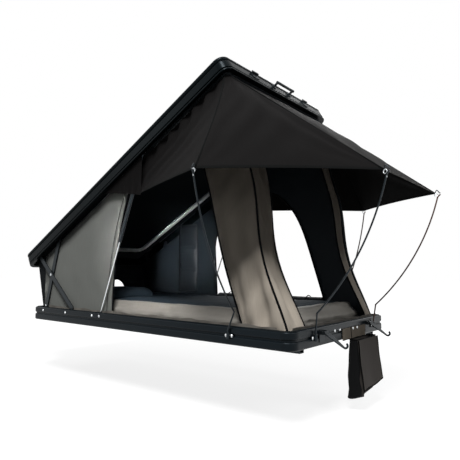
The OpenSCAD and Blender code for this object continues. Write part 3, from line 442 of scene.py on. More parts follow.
panel = cut_panel("wall_panel_near_front", [front_top, front_foot, *front_edge], [], near_side, (0, -1, 0),
                  [grey_canvas, blackout], seed=2.0)
hang(panel, "hung", "grey_canvas", "wall_near_front")
SLACK_HIGH, FOLD, FOOT_FOLD, DRAG_LINE, FOOT_RUCK = 0.8, 0.004, 0.012, 0.005, 0.007


def slack_foot(x, z):
    """Folds that run down a drawn panel and open towards its loose foot, with drag lines across them."""
    low = clip(1 - (z - FLOOR_TOP) / SLACK_HIGH, 0, 1)
    down = sin(46 * x + 9 * z) * (FOLD + FOOT_FOLD * low ** 1.4)
    return down + DRAG_LINE * sin(38 * x - 31 * z + 1.5) + FOOT_RUCK * low ** 3 * sin(91 * x)


panel = cut_panel("wall_panel_near_rear", [rear_head, rear_foot, *rear_edge], [], near_side, (0, -1, 0),
                  [taupe_canvas, blackout], gap=0.014, seed=7.0, size=0.007, folds=slack_foot)
hang(panel, "hung", "taupe_canvas", "wall_near_rear")

sill_z, arch_z = BASE_TOP + 0.042, 0.955
door_foot, door_left = array([-0.215, sill_z]), array([-0.24, 0.562])
door_crown, door_end = array([0.28, arch_z]), array([0.7, BASE_TOP + 0.06])
far_door = np.vstack([
    arc(door_foot, door_foot + [-0.012, 0.2], door_left)[:-1],
    arc(door_left, [door_left[0] + 0.04, arch_z], door_crown)[:-1],
    arc(door_crown, door_crown + [0.255, -0.055], door_end),
])
panel = cut_panel("wall_panel_far", [front_top, front_foot, rear_foot, rear_head], [far_door], far_side, (0, 1, 0),
                  [grey_canvas, blackout], seed=11.0, size=0.007)
hang(panel, "hung", "grey_canvas", "wall_far")

corner_line = [rear_foot + (rear_head - rear_foot) * t for t in linspace(0, 1, 30)]
side_lines = [[place(*p) for p in line] for place, line in (
    (near_side, front_edge), (near_side, rear_edge), (far_side, far_door), (near_side, corner_line))]
bind("wall_binding_sides", side_lines, PIPING_R, "charcoal_canvas")
ZIP_OUT, ZIP_R = 0.0095, 0.0016
zip_edge = arc(lid_at(1.26, -0.012), (-0.275, 0.62), (-0.285, FLOOR_TOP + 0.005))
bind("wall_zip_near", [[(x, near_y - ZIP_OUT, z) for x, z in zip_edge]], ZIP_R, "charcoal_canvas", sides=6)

# The rear end: a jamb of canvas on each side of the rear door, in the plane that leans in to the lid.
# The near one is drawn in at its middle, and the far one is a narrow strip that bows inwards.
rear_run = float(norm(rear_head - rear_foot))
rear_way = (rear_head - rear_foot) / rear_run
rear_out = (rear_way[1], 0, -rear_way[0])
JAMB_NEAR, JAMB_FAR, DRAW_IN, WAIST = 0.18, 0.09, 0.09, 0.4
fold_back = dict(axis=(rear_way[0], 0, rear_way[1]), anchor=(rear_foot[0], 0, rear_foot[1]))


def rear_plane(y, s):
    x, z = rear_foot + rear_way * s
    return drawn(x, z), y, z


def drawn_in(y, s):
    """Drag lines that slope down to the corner from the drawn-in edge, deeper near the waist."""
    waist = sin(pi * clip(s / rear_run, 0, 1))
    return (0.003 + 0.008 * waist) * sin(70 * y + 17 * s) + 0.006 * sin(44 * y - 9 * s)


waist_s, far_edge = rear_run * WAIST, far_y - JAMB_FAR
near_inner = arc((near_y + JAMB_NEAR, 0), (near_y + JAMB_NEAR * 0.35, waist_s), (near_y + JAMB_NEAR * 1.3, rear_run))
far_outer = arc((far_y, 0), (far_y - DRAW_IN, waist_s), (far_y, rear_run))
far_inner = arc((far_y - JAMB_FAR * 1.6, rear_run), (far_edge - DRAW_IN, waist_s), (far_edge, 0))
for name, outline, seed, size in (("near", [(near_y, rear_run), (near_y, 0), *near_inner], 17.0, 0.006),
                                  ("far", [*far_outer, *far_inner], 23.0, 0.005)):
    panel = cut_panel(f"wall_jamb_rear_{name}", outline, [], rear_plane, rear_out, [taupe_canvas, blackout],
                      gap=0.012, seed=seed, size=size, folds=drawn_in)
    hang(panel, "hung", "taupe_canvas", f"wall_rear_{name}", **fold_back)
rear_lines = [[rear_plane(*p) for p in line] for line in (near_inner, far_outer, far_inner)]
bind("wall_binding_rear", rear_lines, PIPING_R, "charcoal_canvas", **fold_back)


# The front end: a black bellows of thinner cloth that wraps round both front corners behind the scissor arms.
# It is pleated across so that it folds down between the rails, and has a small arched window, bound in black.
def grid_cloth(name, shape, cols, rows, materials, thick=CANVAS_T, slot_of=None, facing=None, hole=None):
    """A sheet from a rule: shape(s, t) gives its points, s across and t along; hole(x, y, z) cuts cells out."""
    s, t = np.meshgrid(linspace(0, 1, cols + 1), linspace(0, 1, rows + 1))
    points = np.stack([np.asarray(c, float) + 0 * s for c in shape(s, t)], -1)
    width = norm(np.diff(points, axis=1), axis=2).sum(1).mean()
    length = norm(np.diff(points, axis=0), axis=2).sum(0).mean()
    normal = np.cross(np.gradient(points, axis=1), np.gradient(points, axis=0))
    normal /= np.maximum(norm(normal, axis=2), 1e-12)[:, :, None]
    turned = facing is not None and normal.mean((0, 1)) @ array(facing, float) < 0
    corners = [points[:-1, :-1], points[:-1, 1:], points[1:, 1:], points[1:, :-1]]
    kept = ~hole(*np.moveaxis(sum(corners) / 4, 2, 0)) if hole else np.ones((rows, cols), bool)
    cells = [(i, j) for j in range(rows) for i in range(cols) if kept[j, i]]
    quads = []
    for i, j in cells:
        a = j * (cols + 1) + i
        quad = (a, a + 1, a + cols + 2, a + cols + 1)
        quads.append(tuple(reversed(quad)) if turned else quad)
    normal = -normal if turned else normal
    verts, faces, slots = skin(points.reshape(-1, 3), normal.reshape(-1, 3), quads, thick)
    if slot_of:
        for k, (i, j) in enumerate(cells):
            slots[k] = slots[k + len(quads)] = slot_of((i + 0.5) / cols, (j + 0.5) / rows)
    uv = np.stack([s * width, t * length], -1).reshape(-1, 2)
    made = piece(name, verts, faces, materials, slots, np.vstack([uv, uv]))
    if hole:
        mesh = bmesh.new()
        mesh.from_mesh(made.data)
        bmesh.ops.delete(mesh, geom=[v for v in mesh.verts if not v.link_faces], context="VERTS")
        mesh.to_mesh(made.data)
        mesh.free()
    made.data.set_sharp_from_angle(angle=np.radians(55))
    to_next = [c - corners[0] for c in corners]
    made["flat_area"] = float(sum(
        (0.5 * norm(np.cross(to_next[k], to_next[k + 1]), axis=2) * kept).sum() for k in (1, 2)))
    made["flat_width"], made["flat_length"] = float(width), float(length)
    return made


front_head = lid_at(CANVAS_IN, HEM_N)
front_way = (front_head - front_foot) / norm(front_head - front_foot)
bellows_cloth = canvas("black ripstop nylon", "#101315", thread_mm=6.0, shine=0.1, sheen=0.0)
PLEATS, PLEAT_DEPTH, WEDGE = 7, 0.014, 0.12
WINDOW_Y, WINDOW_Z, WINDOW_R, WINDOW_RISE = 0.208, BASE_TOP + 0.065, 0.08, 0.048
spring_z = WINDOW_Z + WINDOW_RISE


def bellows(s, t):
    corner_x, corner_z = (foot + (head - foot) * t for foot, head in zip(front_foot, front_head))
    side_z = FLOOR_TOP + (front_top[1] - FLOOR_TOP) * t
    side = clip(np.minimum(s, 1 - s) / WEDGE, 0, 1)
    middle = clip((s - WEDGE) / (1 - 2 * WEDGE), 0, 1)
    pleat = PLEAT_DEPTH * (2 * np.abs((t * PLEATS) % 1 - 0.5) - 0.5) * sin(pi * clip(s, 0.02, 0.98)) ** 0.3
    x = wall_front_x + (corner_x - wall_front_x) * side - pleat * (side >= 1)
    return x, near_y + (far_y - near_y) * middle, side_z + (corner_z - side_z) * side


def in_window(x, y, z):
    across = np.abs(y - WINDOW_Y)
    return (z > WINDOW_Z) & np.where(z < spring_z, across < WINDOW_R, np.hypot(across, z - spring_z) < WINDOW_R)


fold_down = dict(axis=(front_way[0], 0, front_way[1]), anchor=(front_foot[0], 0, front_foot[1]))
panel = grid_cloth("wall_bellows_front", bellows, 176, 84, [bellows_cloth, blackout], facing=(-1, 0, 0), hole=in_window)
hang(panel, "folded", "charcoal_canvas", "wall_front", **fold_down)
bow = [(WINDOW_Y + WINDOW_R * cos(a), spring_z + WINDOW_R * sin(a)) for a in linspace(0, pi, 25)]
rim = evenly([(WINDOW_Y + WINDOW_R, WINDOW_Z)] + bow + [(WINDOW_Y - WINDOW_R, WINDOW_Z)], 0.012)
rim = [(front_foot[0] + (z - FLOOR_TOP) * front_way[0] / front_way[1], y, z) for y, z in np.vstack([rim, rim[:1]])]
bind("wall_window_binding", [rim], 0.009, "charcoal_canvas", **fold_down)

# The far door's cloth, rolled down on the far rail in five turns and held by three tapes.
ROLL_R, ROLL_CORE, ROLL_TURNS, TAPE_OUT = 0.045, 0.008, 5, 0.003
roll_from, roll_l = -0.225, 0.89
roll_y, roll_z = HALF_W - 0.012, BASE_TOP + 0.053
press_in = dict(axis=(0, 0.9, 0.436), anchor=(0, HALF_W - 0.0795, BASE_TOP + 0.0203), keep=0.04)


def door_roll(s, t):
    a = 2 * pi * ROLL_TURNS * t
    r = ROLL_CORE + (ROLL_R - ROLL_CORE) * t + 0.0016 * sin(9 * s + 3 * a / ROLL_TURNS)
    return roll_from + roll_l * s, roll_y + r * cos(a), roll_z + r * sin(a)


roll_cloth = canvas("dark grey polycotton canvas", "#121416", shine=0.1, sheen=0.0)
panel = grid_cloth("door_roll", door_roll, 40, 110, [roll_cloth, blackout], thick=0.0022)
hang(panel, "folded", "charcoal_canvas", "far_door_roll", **press_in)
tape_r = ROLL_R + TAPE_OUT
rings = [[(roll_from + roll_l * f, roll_y + tape_r * cos(a), roll_z + tape_r * sin(a)) for a in linspace(0, 2 * pi, 33)]
         for f in (0.12, 0.5, 0.88)]
bind("door_roll_tapes", rings, 0.0035, "charcoal_canvas", **press_in)

# The organiser: a dark strip on the far inner wall with three bellied pockets, bound round its edge.
# Its brushed polyester is smoother than the canvas and takes a faint highlight.
pocket_cloth = canvas("charcoal brushed polyester", "#171c20", rough=0.5, shine=0.3, sheen=0.0)
(org_x, _, org_z), (org_end, _, org_top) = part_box("organiser")
org_y = HALF_W - 0.066
POCKET_FROM, POCKET_PITCH, POCKET_H, POCKET_IN, BELLY = 0.012, 0.185, 0.15, 0.01, 0.018


def org_place(x, z):
    return x, org_y, z


org_edge = [(org_x, org_z), (org_end, org_z), (org_end, org_top), (org_x, org_top)]
backing = cut_panel("organiser_backing", org_edge, [], org_place, (0, -1, 0), [pocket_cloth, pocket_cloth], size=0.002)
hang(backing, "hung", "slate_fabric", "organiser")
org_line = [(x, org_y - 0.003, z) for x, z in org_edge + org_edge[:1]]
bind("organiser_binding", [org_line], 0.003, "slate_fabric")
for k in range(3):
    foot_z = org_z + POCKET_FROM + k * POCKET_PITCH

    def pocket(s, t):
        belly = BELLY * sin(pi * s) ** 0.6 * (0.25 + 0.75 * sin(pi * np.minimum(t * 0.8, 1)))
        return (org_x + POCKET_IN + (org_end - org_x - 2 * POCKET_IN) * s, org_y - 0.002 - belly,
                foot_z + POCKET_H * t + 0.004 * sin(pi * s) * t)

    pouch = grid_cloth(f"organiser_pocket_{k + 1}", pocket, 16, 12, [pocket_cloth, pocket_cloth], facing=(0, -1, 0))
    hang(pouch, "hung", "slate_fabric")

# The canopy: charcoal waterproof canvas in five panels that hang from battens under the lid and are held out
# by four spring rods. A rear panel, a corner gusset on each side and a narrow awning along each side of the lid.
# Its panels are drawn taut to the four tips, with folds that run out of the tips, and a black hem all round.
canopy_cloth = canvas("charcoal coated canvas", "#0e0d0d", contrast=0.14, rough=0.75, shine=0.05, sheen=0.0)
hem_cloth = canvas("black hem webbing", "#080909", thread_mm=4.0, shine=0.06, sheen=0.0)
dress(powder_coat("black extruded batten", "#0d1012", rough=0.6), "canopy_battens")
SEAM, CORNER_CUT, CANOPY_IN, BATTEN_N = 0.004, 0.014, 0.044, -0.0023
HEM_SHARE, SIDE_BOW, STRIPS = 0.03, 0.024, 8
TUCK_IN, TUCK_KEEP = 0.042, 0.012
RAY, RAY_FADE, DRAG = 0.011, 2.6, 0.004
side_tip, rear_tip = array([0.813, -0.942, 0.822]), array([1.437, -0.412, 0.822])
edge_u, edge_y = SHELL_L - CANOPY_IN, -HALF_W + CANOPY_IN


def under_lid(u, y, n):
    x, z = lid_at(u, n)
    return array([x, y, z])


def on_side(side, *points):
    """The same points on the near side (-1), or mirrored to the far side (1)."""
    return [array(p) * (1, -side, 1) for p in points]


def hem_slot(s, t):
    return 1 if t > 1 - HEM_SHARE else 0


def stretched(a, b, c, d, sag, arch, seed, part=(0, 1), gather=0.0, waves=9, bows=(0, 0)):
    """A taut sheet between top corners a, b and tips c, d: it sags, its hem is arched, folds leave the tips,
    gather is the height of the small tucks along its top, and bows curve its two sides towards the rear."""
    up = np.cross(c - a, d - b)
    up = up / norm(up)
    rise = (a + b - c - d) / norm(a + b - c - d)

    def rays_from(q, t, phase):
        r = np.hypot(q * 1.2, 1 - t)
        return RAY * np.exp(-RAY_FADE * r) * sin(9 * np.arctan2(q * 1.2, 1.0001 - t) + phase) * clip(r * 5, 0, 1)

    def rule(s, t):
        s = part[0] + (part[1] - part[0]) * s
        flat = [(1 - t) * ((1 - s) * a[k] + s * b[k]) + t * ((1 - s) * d[k] + s * c[k]) for k in range(3)]
        middle = sin(pi * s) * sin(pi * t)
        rays = (rays_from(s, t, seed) + rays_from(1 - s, t, seed + 1)) * sin(pi * clip(t, 0, 1) ** 0.7)
        tucks = gather * sin(2 * pi * waves * s + seed) * np.exp(-6 * t) * clip(t * 25, 0, 1) * sin(pi * s) ** 0.4
        drape = -sag * middle + rays + tucks + DRAG * sin(17 * s + 24 * t + seed) * middle
        lift = arch * t * sin(pi * s)
        curve = (bows[0] * (1 - s) + bows[1] * s) * sin(pi * t ** 0.8)
        return [flat[k] + up[k] * drape + rise[k] * lift + (curve if k == 0 else 0) for k in range(3)]

    return rule


def tuck_up(made, start, end, *nodes):
    """Rides the lid."""
    way = (end - start) / norm(end - start)
    lay_flat(made, *nodes, axis=tuple(way), anchor=tuple(start - TUCK_IN * way), keep=TUCK_KEEP, body="lid")


def in_strips(label, node, a, b, c, d, rows, facing, square=False, **drape):
    """A stretched panel in strips side by side, each riding the lid.
    The first strip stands for the panel's solid."""
    edge_way = (b - a) / norm(b - a)
    for k in range(STRIPS):
        part = (k / STRIPS, (k + 1) / STRIPS)
        strip = grid_cloth(f"{label}_{k + 1}", stretched(a, b, c, d, part=part, **drape), 8, rows,
                           [canopy_cloth, hem_cloth], slot_of=hem_slot, facing=facing)
        top = a + (b - a) * sum(part) / 2
        reach = d + (c - d) * sum(part) / 2 - top
        if square:
            reach = reach - edge_way * (reach @ edge_way)
        tuck_up(strip, top, top + reach, *([node] if k == 0 else []))


side_from = under_lid(1.35, edge_y + 0.0132, BATTEN_N)
awning_foot = side_from * (1, 1, 0) + (-0.033, 0, 0.84)
side_to = under_lid(edge_u - CORNER_CUT - 0.007, edge_y, BATTEN_N)
gusset_from = under_lid(edge_u - CORNER_CUT, edge_y, -0.0011)
gusset_to = under_lid(edge_u, edge_y + CORNER_CUT, -0.0011)
rear_from = under_lid(edge_u, edge_y + CORNER_CUT + SEAM, -0.0008)
across_seam, along_seam = array([0, SEAM, 0]), array([SEAM, 0, 0])
far_from, far_tip = on_side(1, rear_from, rear_tip)
rear_rule = stretched(rear_from, far_from, far_tip - across_seam, rear_tip + across_seam,
                      sag=0.018, arch=0.014, seed=1.0, gather=0.004, waves=11)
panel = grid_cloth("canopy_panel_rear", rear_rule, 64, 44, [canopy_cloth, hem_cloth], slot_of=hem_slot,
                   facing=(0.6, 0, 0.8))
rear_tuck = (rear_from + far_from) / 2, (rear_tip + far_tip) / 2
tuck_up(panel, *rear_tuck, "canopy_rear")

FLAP_FROM, FLAP_RUN, FLAP_MID, FLAP_IN = 0.96, 0.43, 1.17, 0.0286
for name, side in SIDES:
    a, b, c, d = on_side(side, gusset_from, gusset_to, rear_tip - across_seam, side_tip + along_seam)
    in_strips(f"canopy_gusset_{name}", f"canopy_gusset_{name}", a, b, c, d, 48, (0.5, side * 0.6, 0.6),
              sag=-0.02 * side, arch=0.008, seed=4.0, bows=(SIDE_BOW, 0))
    q, p, tip, foot = on_side(side, side_from, side_to, side_tip - along_seam, awning_foot)
    in_strips(f"canopy_awning_{name}", f"canopy_side_{name}", q, p, tip, foot, 40, (-0.2, side * 0.8, 0.5), square=True,
              sag=0.008 * side, arch=0.006, seed=6.0, gather=0.016, waves=7, bows=(0, SIDE_BOW))
    flap_y = side * (HALF_W - FLAP_IN)

    def front_flap(s, t):
        """A low flap in front of the awning; its hem drops by 36 mm on the way to the rear."""
        x, z = lid_at(FLAP_FROM + FLAP_RUN * s, BATTEN_N)
        hem_z = np.minimum(0.866 - 0.036 * clip((x + 0.2) / 0.25, 0, 1), z - 0.004)
        return x, flap_y + side * 0.003 * sin(40 * s) * t, z + (hem_z - z) * t

    flap_piece = grid_cloth(f"canopy_front_flap_{name}", front_flap, 40, 10, [canopy_cloth, hem_cloth],
                            facing=(0, side, 0))
    flap_top = under_lid(FLAP_MID, flap_y, BATTEN_N)
    tuck_up(flap_piece, flap_top, flap_top + (sin(LID_TILT), 0, -cos(LID_TILT)))
    rear_top, rear_end = on_side(side, rear_from, rear_tip + across_seam)
    for label, start, end, bow in (("side", (a + p) / 2, (d + tip) / 2, SIDE_BOW),
                                   ("rear", (b + rear_top) / 2, (c + rear_end) / 2, 0)):
        line = [start + (end - start) * f + (bow * sin(pi * f ** 0.8), 0, 0) for f in linspace(0.01, 0.995, 30)]
        seam_tape = tubes(f"canopy_seam_{label}_{name}", [line], 0.0062, hem_cloth)
        tuck_up(seam_tape, start, end)

# Scissor arms, brackets, latches and rod sockets: pressed steel, powder coated, with a satin highlight.
# Levers and handle are moulded nylon, duller and finer in grain; the cross pins are bright zinc.
arm_coat = powder_coat("black powder coat on steel", "#0e1113", rough=0.45)
dress(arm_coat, "inner_arm_near", "inner_arm_far", "outer_arm_near", "outer_arm_far", "scissor_base_brackets",
      "scissor_foot_ledges", "strut_base_brackets", "lid_scissor_brackets", "lid_slide_channels", "lid_strut_studs",
      "latch_plates", "rod_sockets", "latch_keepers")
lever_coat = powder_coat("black moulded nylon", "#0f1214", rough=0.5, lump_mm=3.0)
dress(lever_coat, "latch_lever_near", "latch_lever_far", "lid_handle")


def bright_metal(name, colour, rough, brushed_mm=2.0, bare=1.0):
    """Bare metal with fine drawing lines: brushed 0.2 mm apart, drawn coarser so that they show."""
    made, tree = new_material(name)
    place = add(tree, "ShaderNodeTexCoord").outputs["Object"]
    way = add(tree, "ShaderNodeMapping", {"Vector": place, "Scale": (1, 12, 12)})
    lines = add(tree, "ShaderNodeTexNoise", {"Vector": way, "Scale": 100 / brushed_mm, "Detail": 3.0})
    gloss = add(tree, "ShaderNodeMapRange", {"Value": lines, "To Min": rough - 0.08, "To Max": rough + 0.1})
    marks = add(tree, "ShaderNodeBump", {"Height": lines, "Strength": 0.08, "Distance": 0.0002})
    metal = add(tree, "ShaderNodeBsdfPrincipled", {
        "Base Color": linear(colour), "Metallic": bare, "Roughness": gloss, "Normal": marks})
    add(tree, "ShaderNodeOutputMaterial", {"Surface": metal})
    return made


zinc = bright_metal("bright zinc-plated steel", "#c6cacd", 0.32)
dress(zinc, "scissor_cross_pins")

# Gas struts: a ground steel rod below, bright and nearly a mirror, with moulded end eyes.
# The cylinder above is black enamel on drawn tube, with a clean highlight.
dress(bright_metal("ground chromed steel", "#d3d6d8", 0.16), "strut_rod_near", "strut_rod_far")
dress(powder_coat("black enamel on drawn tube", "#121517", rough=0.3), "strut_cylinder_near", "strut_cylinder_far")

# The hoop: flat-oval aluminium tube, bent at two elbows and riveted under the liner.
# Its near-white colour, only partly metallic, is a painted reflection: it stands for the bright bare metal catching
# light in the dark tent.
dress(bright_metal("aluminium tube painted near-white for its reflection", "#f4f6f6", 0.3, bare=0.3), "lid_hoop")

# The spring rods: bowed steel, the near pair in glossy black lacquer, the far pair worn brown.
# Each ends in a curled hook and a wire ring that takes the canopy's tip.
rod_finish = powder_coat("black lacquer on spring steel", "#0e1113", rough=0.35, lump_mm=8.0)
worn_finish = powder_coat("worn brown lacquer on spring steel", "#5b4135", rough=0.4, lump_mm=8.0)
dress(rod_finish, "awning_rod_side_near", "awning_rod_rear_near")
dress(worn_finish, "awning_rod_side_far", "awning_rod_rear_far")
RING_R, RING_WIRE, HOOK_WIRE = 0.009, 0.0022, 0.0026
SIDE_LEAN, REAR_LEAN = (0.25, -0.97, 0), (0.97, -0.25, 0)
for name, side in SIDES:
    for end, tip, lean in (("side", side_tip, SIDE_LEAN), ("rear", rear_tip, REAR_LEAN)):
        tip, lean = on_side(side, tip, lean)
        ring = [tip + lean * (0.006 + RING_R * cos(a)) + (0, 0, -0.007 + RING_R * sin(a))
                for a in linspace(0, 2 * pi, 25)]
        shank = [tip + lean * 0.013 + (0, 0, z) for z in linspace(-0.034, -0.012, 4)]
        curl = [tip + lean * (0.002 + 0.026 * f) + (0, 0, 0.004 + 0.016 * sin(pi * min(f * 1.25, 1) ** 0.6))
                for f in linspace(0, 1, 14)]
        for kind, lines, wire, finish in (("ring", [ring, shank], RING_WIRE, zinc),
                                          ("hook", [curl], HOOK_WIRE, rod_finish)):
            made = tubes(f"rod_{kind}_{end}_{name}", lines, wire, finish)
            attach(made, f"rod_{end}_{name}")

# The shoe bag: brown woven polyester with black mesh ends, a shell narrow at its mouth that sags wide at its foot.
# A front panel hangs over its face and ends in a bound, lifted hem. The bag hangs from a taupe flap on the rear rail.
bag_cloth = canvas("brown ripstop polyester", "#474340", thread_mm=6.0, contrast=0.16)
mesh_cloth = canvas("black mesh cloth", "#0c0d0e", thread_mm=7.0, contrast=0.2)
BAG_W, BAG_MOUTH, BAG_FOOT, BAG_H, BAG_Y = 0.282, 0.046, 0.09, 0.328, 0.16
bag_x, bag_top = HALF_L + 0.028, BASE_Z - 0.004
SQUARENESS, ROUND_FROM = 0.3, 0.88


def point_of(rule, s, t):
    """One point of a sheet's rule."""
    return array(rule(array(float(s)), array(float(t)))).ravel()


def bag_ring(s, depth, width):
    a = 2 * pi * s + pi / 4
    return [size / 2 * np.sign(c) * np.abs(c) ** SQUARENESS for size, c in ((depth, cos(a)), (width, sin(a)))]


def bag_shell(s, t):
    side = clip(t / ROUND_FROM, 0, 1)
    under = clip((t - ROUND_FROM) / (1 - ROUND_FROM), 0, 1)
    close = cos(under * pi / 2) ** 0.45
    x, y = bag_ring(s, BAG_MOUTH + (BAG_FOOT - BAG_MOUTH) * side, BAG_W * (1 - 0.06 * side ** 3))
    fold = 0.0035 * sin(14 * s * pi + 5 * side) * sin(pi * t) + 0.004 * sin(9 * y / BAG_W + 14 * side) * side ** 2
    lift = side ** 4 * (0.05 * (0.5 + y / BAG_W) + 0.03 * (0.5 + x / BAG_FOOT))
    drop = BAG_H * (0.95 * side + 0.05 * sin(under * pi / 2)) - lift
    x = np.maximum(x * close + fold, -BAG_FOOT / 2 + 0.002)
    return bag_x + x, BAG_Y + y * close + 0.5 * fold, bag_top - drop


def bag_slot(s, t):
    """Mesh on the two ends, cloth on the front, the back and the foot."""
    x, y = bag_ring(array(s), 1.0, 1.0)
    return 1 if abs(y) > 0.47 and abs(x) < 0.47 else 0


bag = grid_cloth("bag_shell", bag_shell, 120, 48, [bag_cloth, mesh_cloth], thick=0.0024, slot_of=bag_slot)
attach(bag, "bag")
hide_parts("shoe_bag")


def bag_front(s, t):
    drop = t * (0.79 - 0.06 * s)
    face = (BAG_MOUTH + (BAG_FOOT - BAG_MOUTH) * drop) / 2
    loose = 0.006 + 0.008 * t ** 3 + 0.003 * sin(7 * s + 1) * t
    return (bag_x + face + loose, BAG_Y + (s - 0.5) * BAG_W * 0.97 + 0.002 * sin(11 * t),
            bag_top - 0.002 - BAG_H * drop + 0.005 * sin(8 * s) * t ** 2)


front = grid_cloth("bag_front_panel", bag_front, 40, 40, [bag_cloth, mesh_cloth], facing=(1, 0, 0))
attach(front, "bag")
steps = linspace(0, 1, 30)
front_rim = [(0, t) for t in steps] + [(s, 1) for s in steps[1:]] + [(1, t) for t in linspace(1, 0, 30)[1:]]
mouth = [point_of(bag_shell, s, 0) for s in linspace(0, 1, 121)]
bag_binding = tubes("bag_binding", [mouth, [point_of(bag_front, s, t) for s, t in front_rim]], 0.0032, hem_cloth)
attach(bag_binding, "bag")
FLAP_W, FLAP_Y, FLAP_H, FLAP_SEAM = 0.306, 0.1, 0.06, 0.33


def flap(s, t):
    return (HALF_L + 0.004 + 0.0014 * sin(22 * s) * t, FLAP_Y + (s - 0.5) * FLAP_W,
            bag_top + 0.0015 + FLAP_H * (1 - t) + 0.001 * sin(13 * s) * t)


flap_cloth = canvas("taupe webbing", "#6f675c", thread_mm=4.0)
strap = grid_cloth("bag_flap", flap, 40, 8, [flap_cloth, flap_cloth], thick=0.003, facing=(1, 0, 0))
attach(strap, "base")
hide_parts("shoe_bag_flap")
flap_seam = [point_of(flap, FLAP_SEAM + 0.02 * t, t) + (0.002, 0, 0) for t in linspace(0, 1, 9)]
flap_foot = [point_of(flap, s, 1) for s in linspace(0, 1, 33)]
flap_binding = tubes("bag_flap_binding", [flap_seam, flap_foot], 0.0024, hem_cloth)
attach(flap_binding, "base")


# The mattress: foam in a cover with taupe canvas sides, puffed and wavy at its edge; the slate on its top is painted
# sheen.
# The pillow is a slate sack that lies on it near the front end. Both are blown up by a short cloth simulation.
def baked(obj):
    """The object's mesh with its modifiers applied, which then leave it."""
    made = bpy.data.meshes.new_from_object(obj.evaluated_get(bpy.context.evaluated_depsgraph_get()))
    obj.modifiers.clear()
    obj.data = made


def puffed(name, low, high, cell, pressure, cap, materials, on_top=None):
    """A bevelled block of cells blown up by a pressure, its points moved no further than cap and not below its foot.
    Faces that on_top names take the second material."""
    low, high = array(low), array(high)
    block = bmesh.new()
    bmesh.ops.create_cube(block, size=1.0)
    for v in block.verts:
        v.co = Vector((low + high) / 2 + array(v.co) * (high - low))
    bmesh.ops.bevel(block, geom=block.edges[:], offset=min(high - low) * 0.3, segments=3, affect="EDGES")
    form = bpy.data.meshes.new("form")
    block.to_mesh(form)
    block.free()
    obj = bpy.data.objects.new(name, form)
    scene.collection.objects.link(obj)
    remesh = obj.modifiers.new("cells", "REMESH")
    remesh.mode, remesh.voxel_size = "VOXEL", cell
    baked(obj)
    start = array([v.co for v in obj.data.vertices])
    blow = obj.modifiers.new("blow", "CLOTH")
    blow.settings.use_pressure = True
    blow.settings.uniform_pressure_force = pressure
    blow.settings.effector_weights.gravity = 0
    blow.point_cache.frame_start, blow.point_cache.frame_end = 1, 20
    for f in range(1, 21):
        scene.frame_set(f)
    baked(obj)
    scene.frame_set(1)
    moved = array([v.co for v in obj.data.vertices]) - start
    moved *= np.minimum(1, cap / np.maximum(norm(moved, axis=1), 1e-9))[:, None]
    placed = start + moved
    placed[:, 2] = np.maximum(placed[:, 2], low[2])
    obj.data.vertices.foreach_set("co", placed.ravel())
    obj.data.update()
    for material in materials:
        obj.data.materials.append(material)
    layer = obj.data.uv_layers.new(name="cloth")
    for face in obj.data.polygons:
        face.use_smooth = True
        n = face.normal
        face.material_index = 1 if on_top and n.z > 0.3 and on_top(*face.center) else 0
        flat = (0, 1) if abs(n.z) > 0.6 else (1, 2) if abs(n.x) > abs(n.y) else (0, 2)
        for corner in face.loop_indices:
            co = obj.data.vertices[obj.data.loops[corner].vertex_index].co
            layer.data[corner].uv = (co[flat[0]], co[flat[1]])
    return obj


def painted_sheen_top(x, y, z):
    """The field of the mattress's top, inside its taupe border, where slate is painted sheen."""
    return -0.92 < x < 0.86 and abs(y) < 0.415


RUCK, FINE_RUCK, EDGE_WAVE, MATTRESS_TOP = 0.014, 0.008, 0.0055, 0.184
cover_canvas = canvas("pale taupe cover canvas", "#908c85", contrast=0.08, rough=0.5, shine=0.25)
# On the mattress's top this slate colour is painted sheen, chosen by the faces that look up.
slate_cloth = canvas("slate brushed polyester", "#2c363e", rough=0.85, shine=0.08, sheen=0.0)
mattress = puffed("mattress_cover", (-0.992, -0.5, FLOOR_TOP + 0.0005), (0.96, 0.5, MATTRESS_TOP), 0.016, 5.0, 0.012,
                  [cover_canvas, slate_cloth], on_top=painted_sheen_top)
co = array([v.co for v in mattress.data.vertices])
outward = array([v.normal for v in mattress.data.vertices])
ruck = array([RUCK * noise.noise(Vector((x * 6, y * 6, z * 16 + x * 5)))
              + FINE_RUCK * noise.noise(Vector((x * 17 + 4, y * 17, z * 26))) for x, y, z in co])
cover_x, cover_y, cover_z = co.T
upright = clip(1.3 - np.abs(outward[:, 2]) * 1.3, 0, 1) * clip((cover_z - 0.06) / 0.03, 0, 1)
co += outward * (ruck * (0.25 + upright) * clip((cover_z - 0.05) / 0.02, 0, 1))[:, None]
edge = clip((np.maximum(np.abs(cover_x + 0.016) / 0.98, np.abs(cover_y) / 0.506) - 0.87) / 0.13, 0, 1)
high_up = clip((cover_z - 0.11) / 0.06, 0, 1)
co[:, 2] += EDGE_WAVE * edge * high_up * (sin(cover_x * 17) + 0.6 * sin(cover_x * 41 + 1) + sin(cover_y * 19))
mattress.data.vertices.foreach_set("co", co.ravel())
lay_flat(mattress, "mattress", keep=0.68)

pillow_low, pillow_high = (array(c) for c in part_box("pillow"))
pillow = puffed("pillow_sack", pillow_low + (0.016, 0.016, 0.001), pillow_high - (0.016, 0.016, 0.012),
                0.012, 6.0, 0.02, [slate_cloth, slate_cloth])
lay_flat(pillow, "pillow", anchor=(0, 0, 0.138), keep=0.13)

# A gathered hem of grey cloth along the foot of the walls and across the rear end.
# It stands in uneven tucks just inside the rail's top edge.
hem_grey = canvas("grey gathered hem cloth", "#6f6b65")
HEM_LOW, HEM_H, HEM_RUN, HEM_OUT, REAR_HEM_OUT = 0.098, 0.024, 1.9, 0.016, 0.025


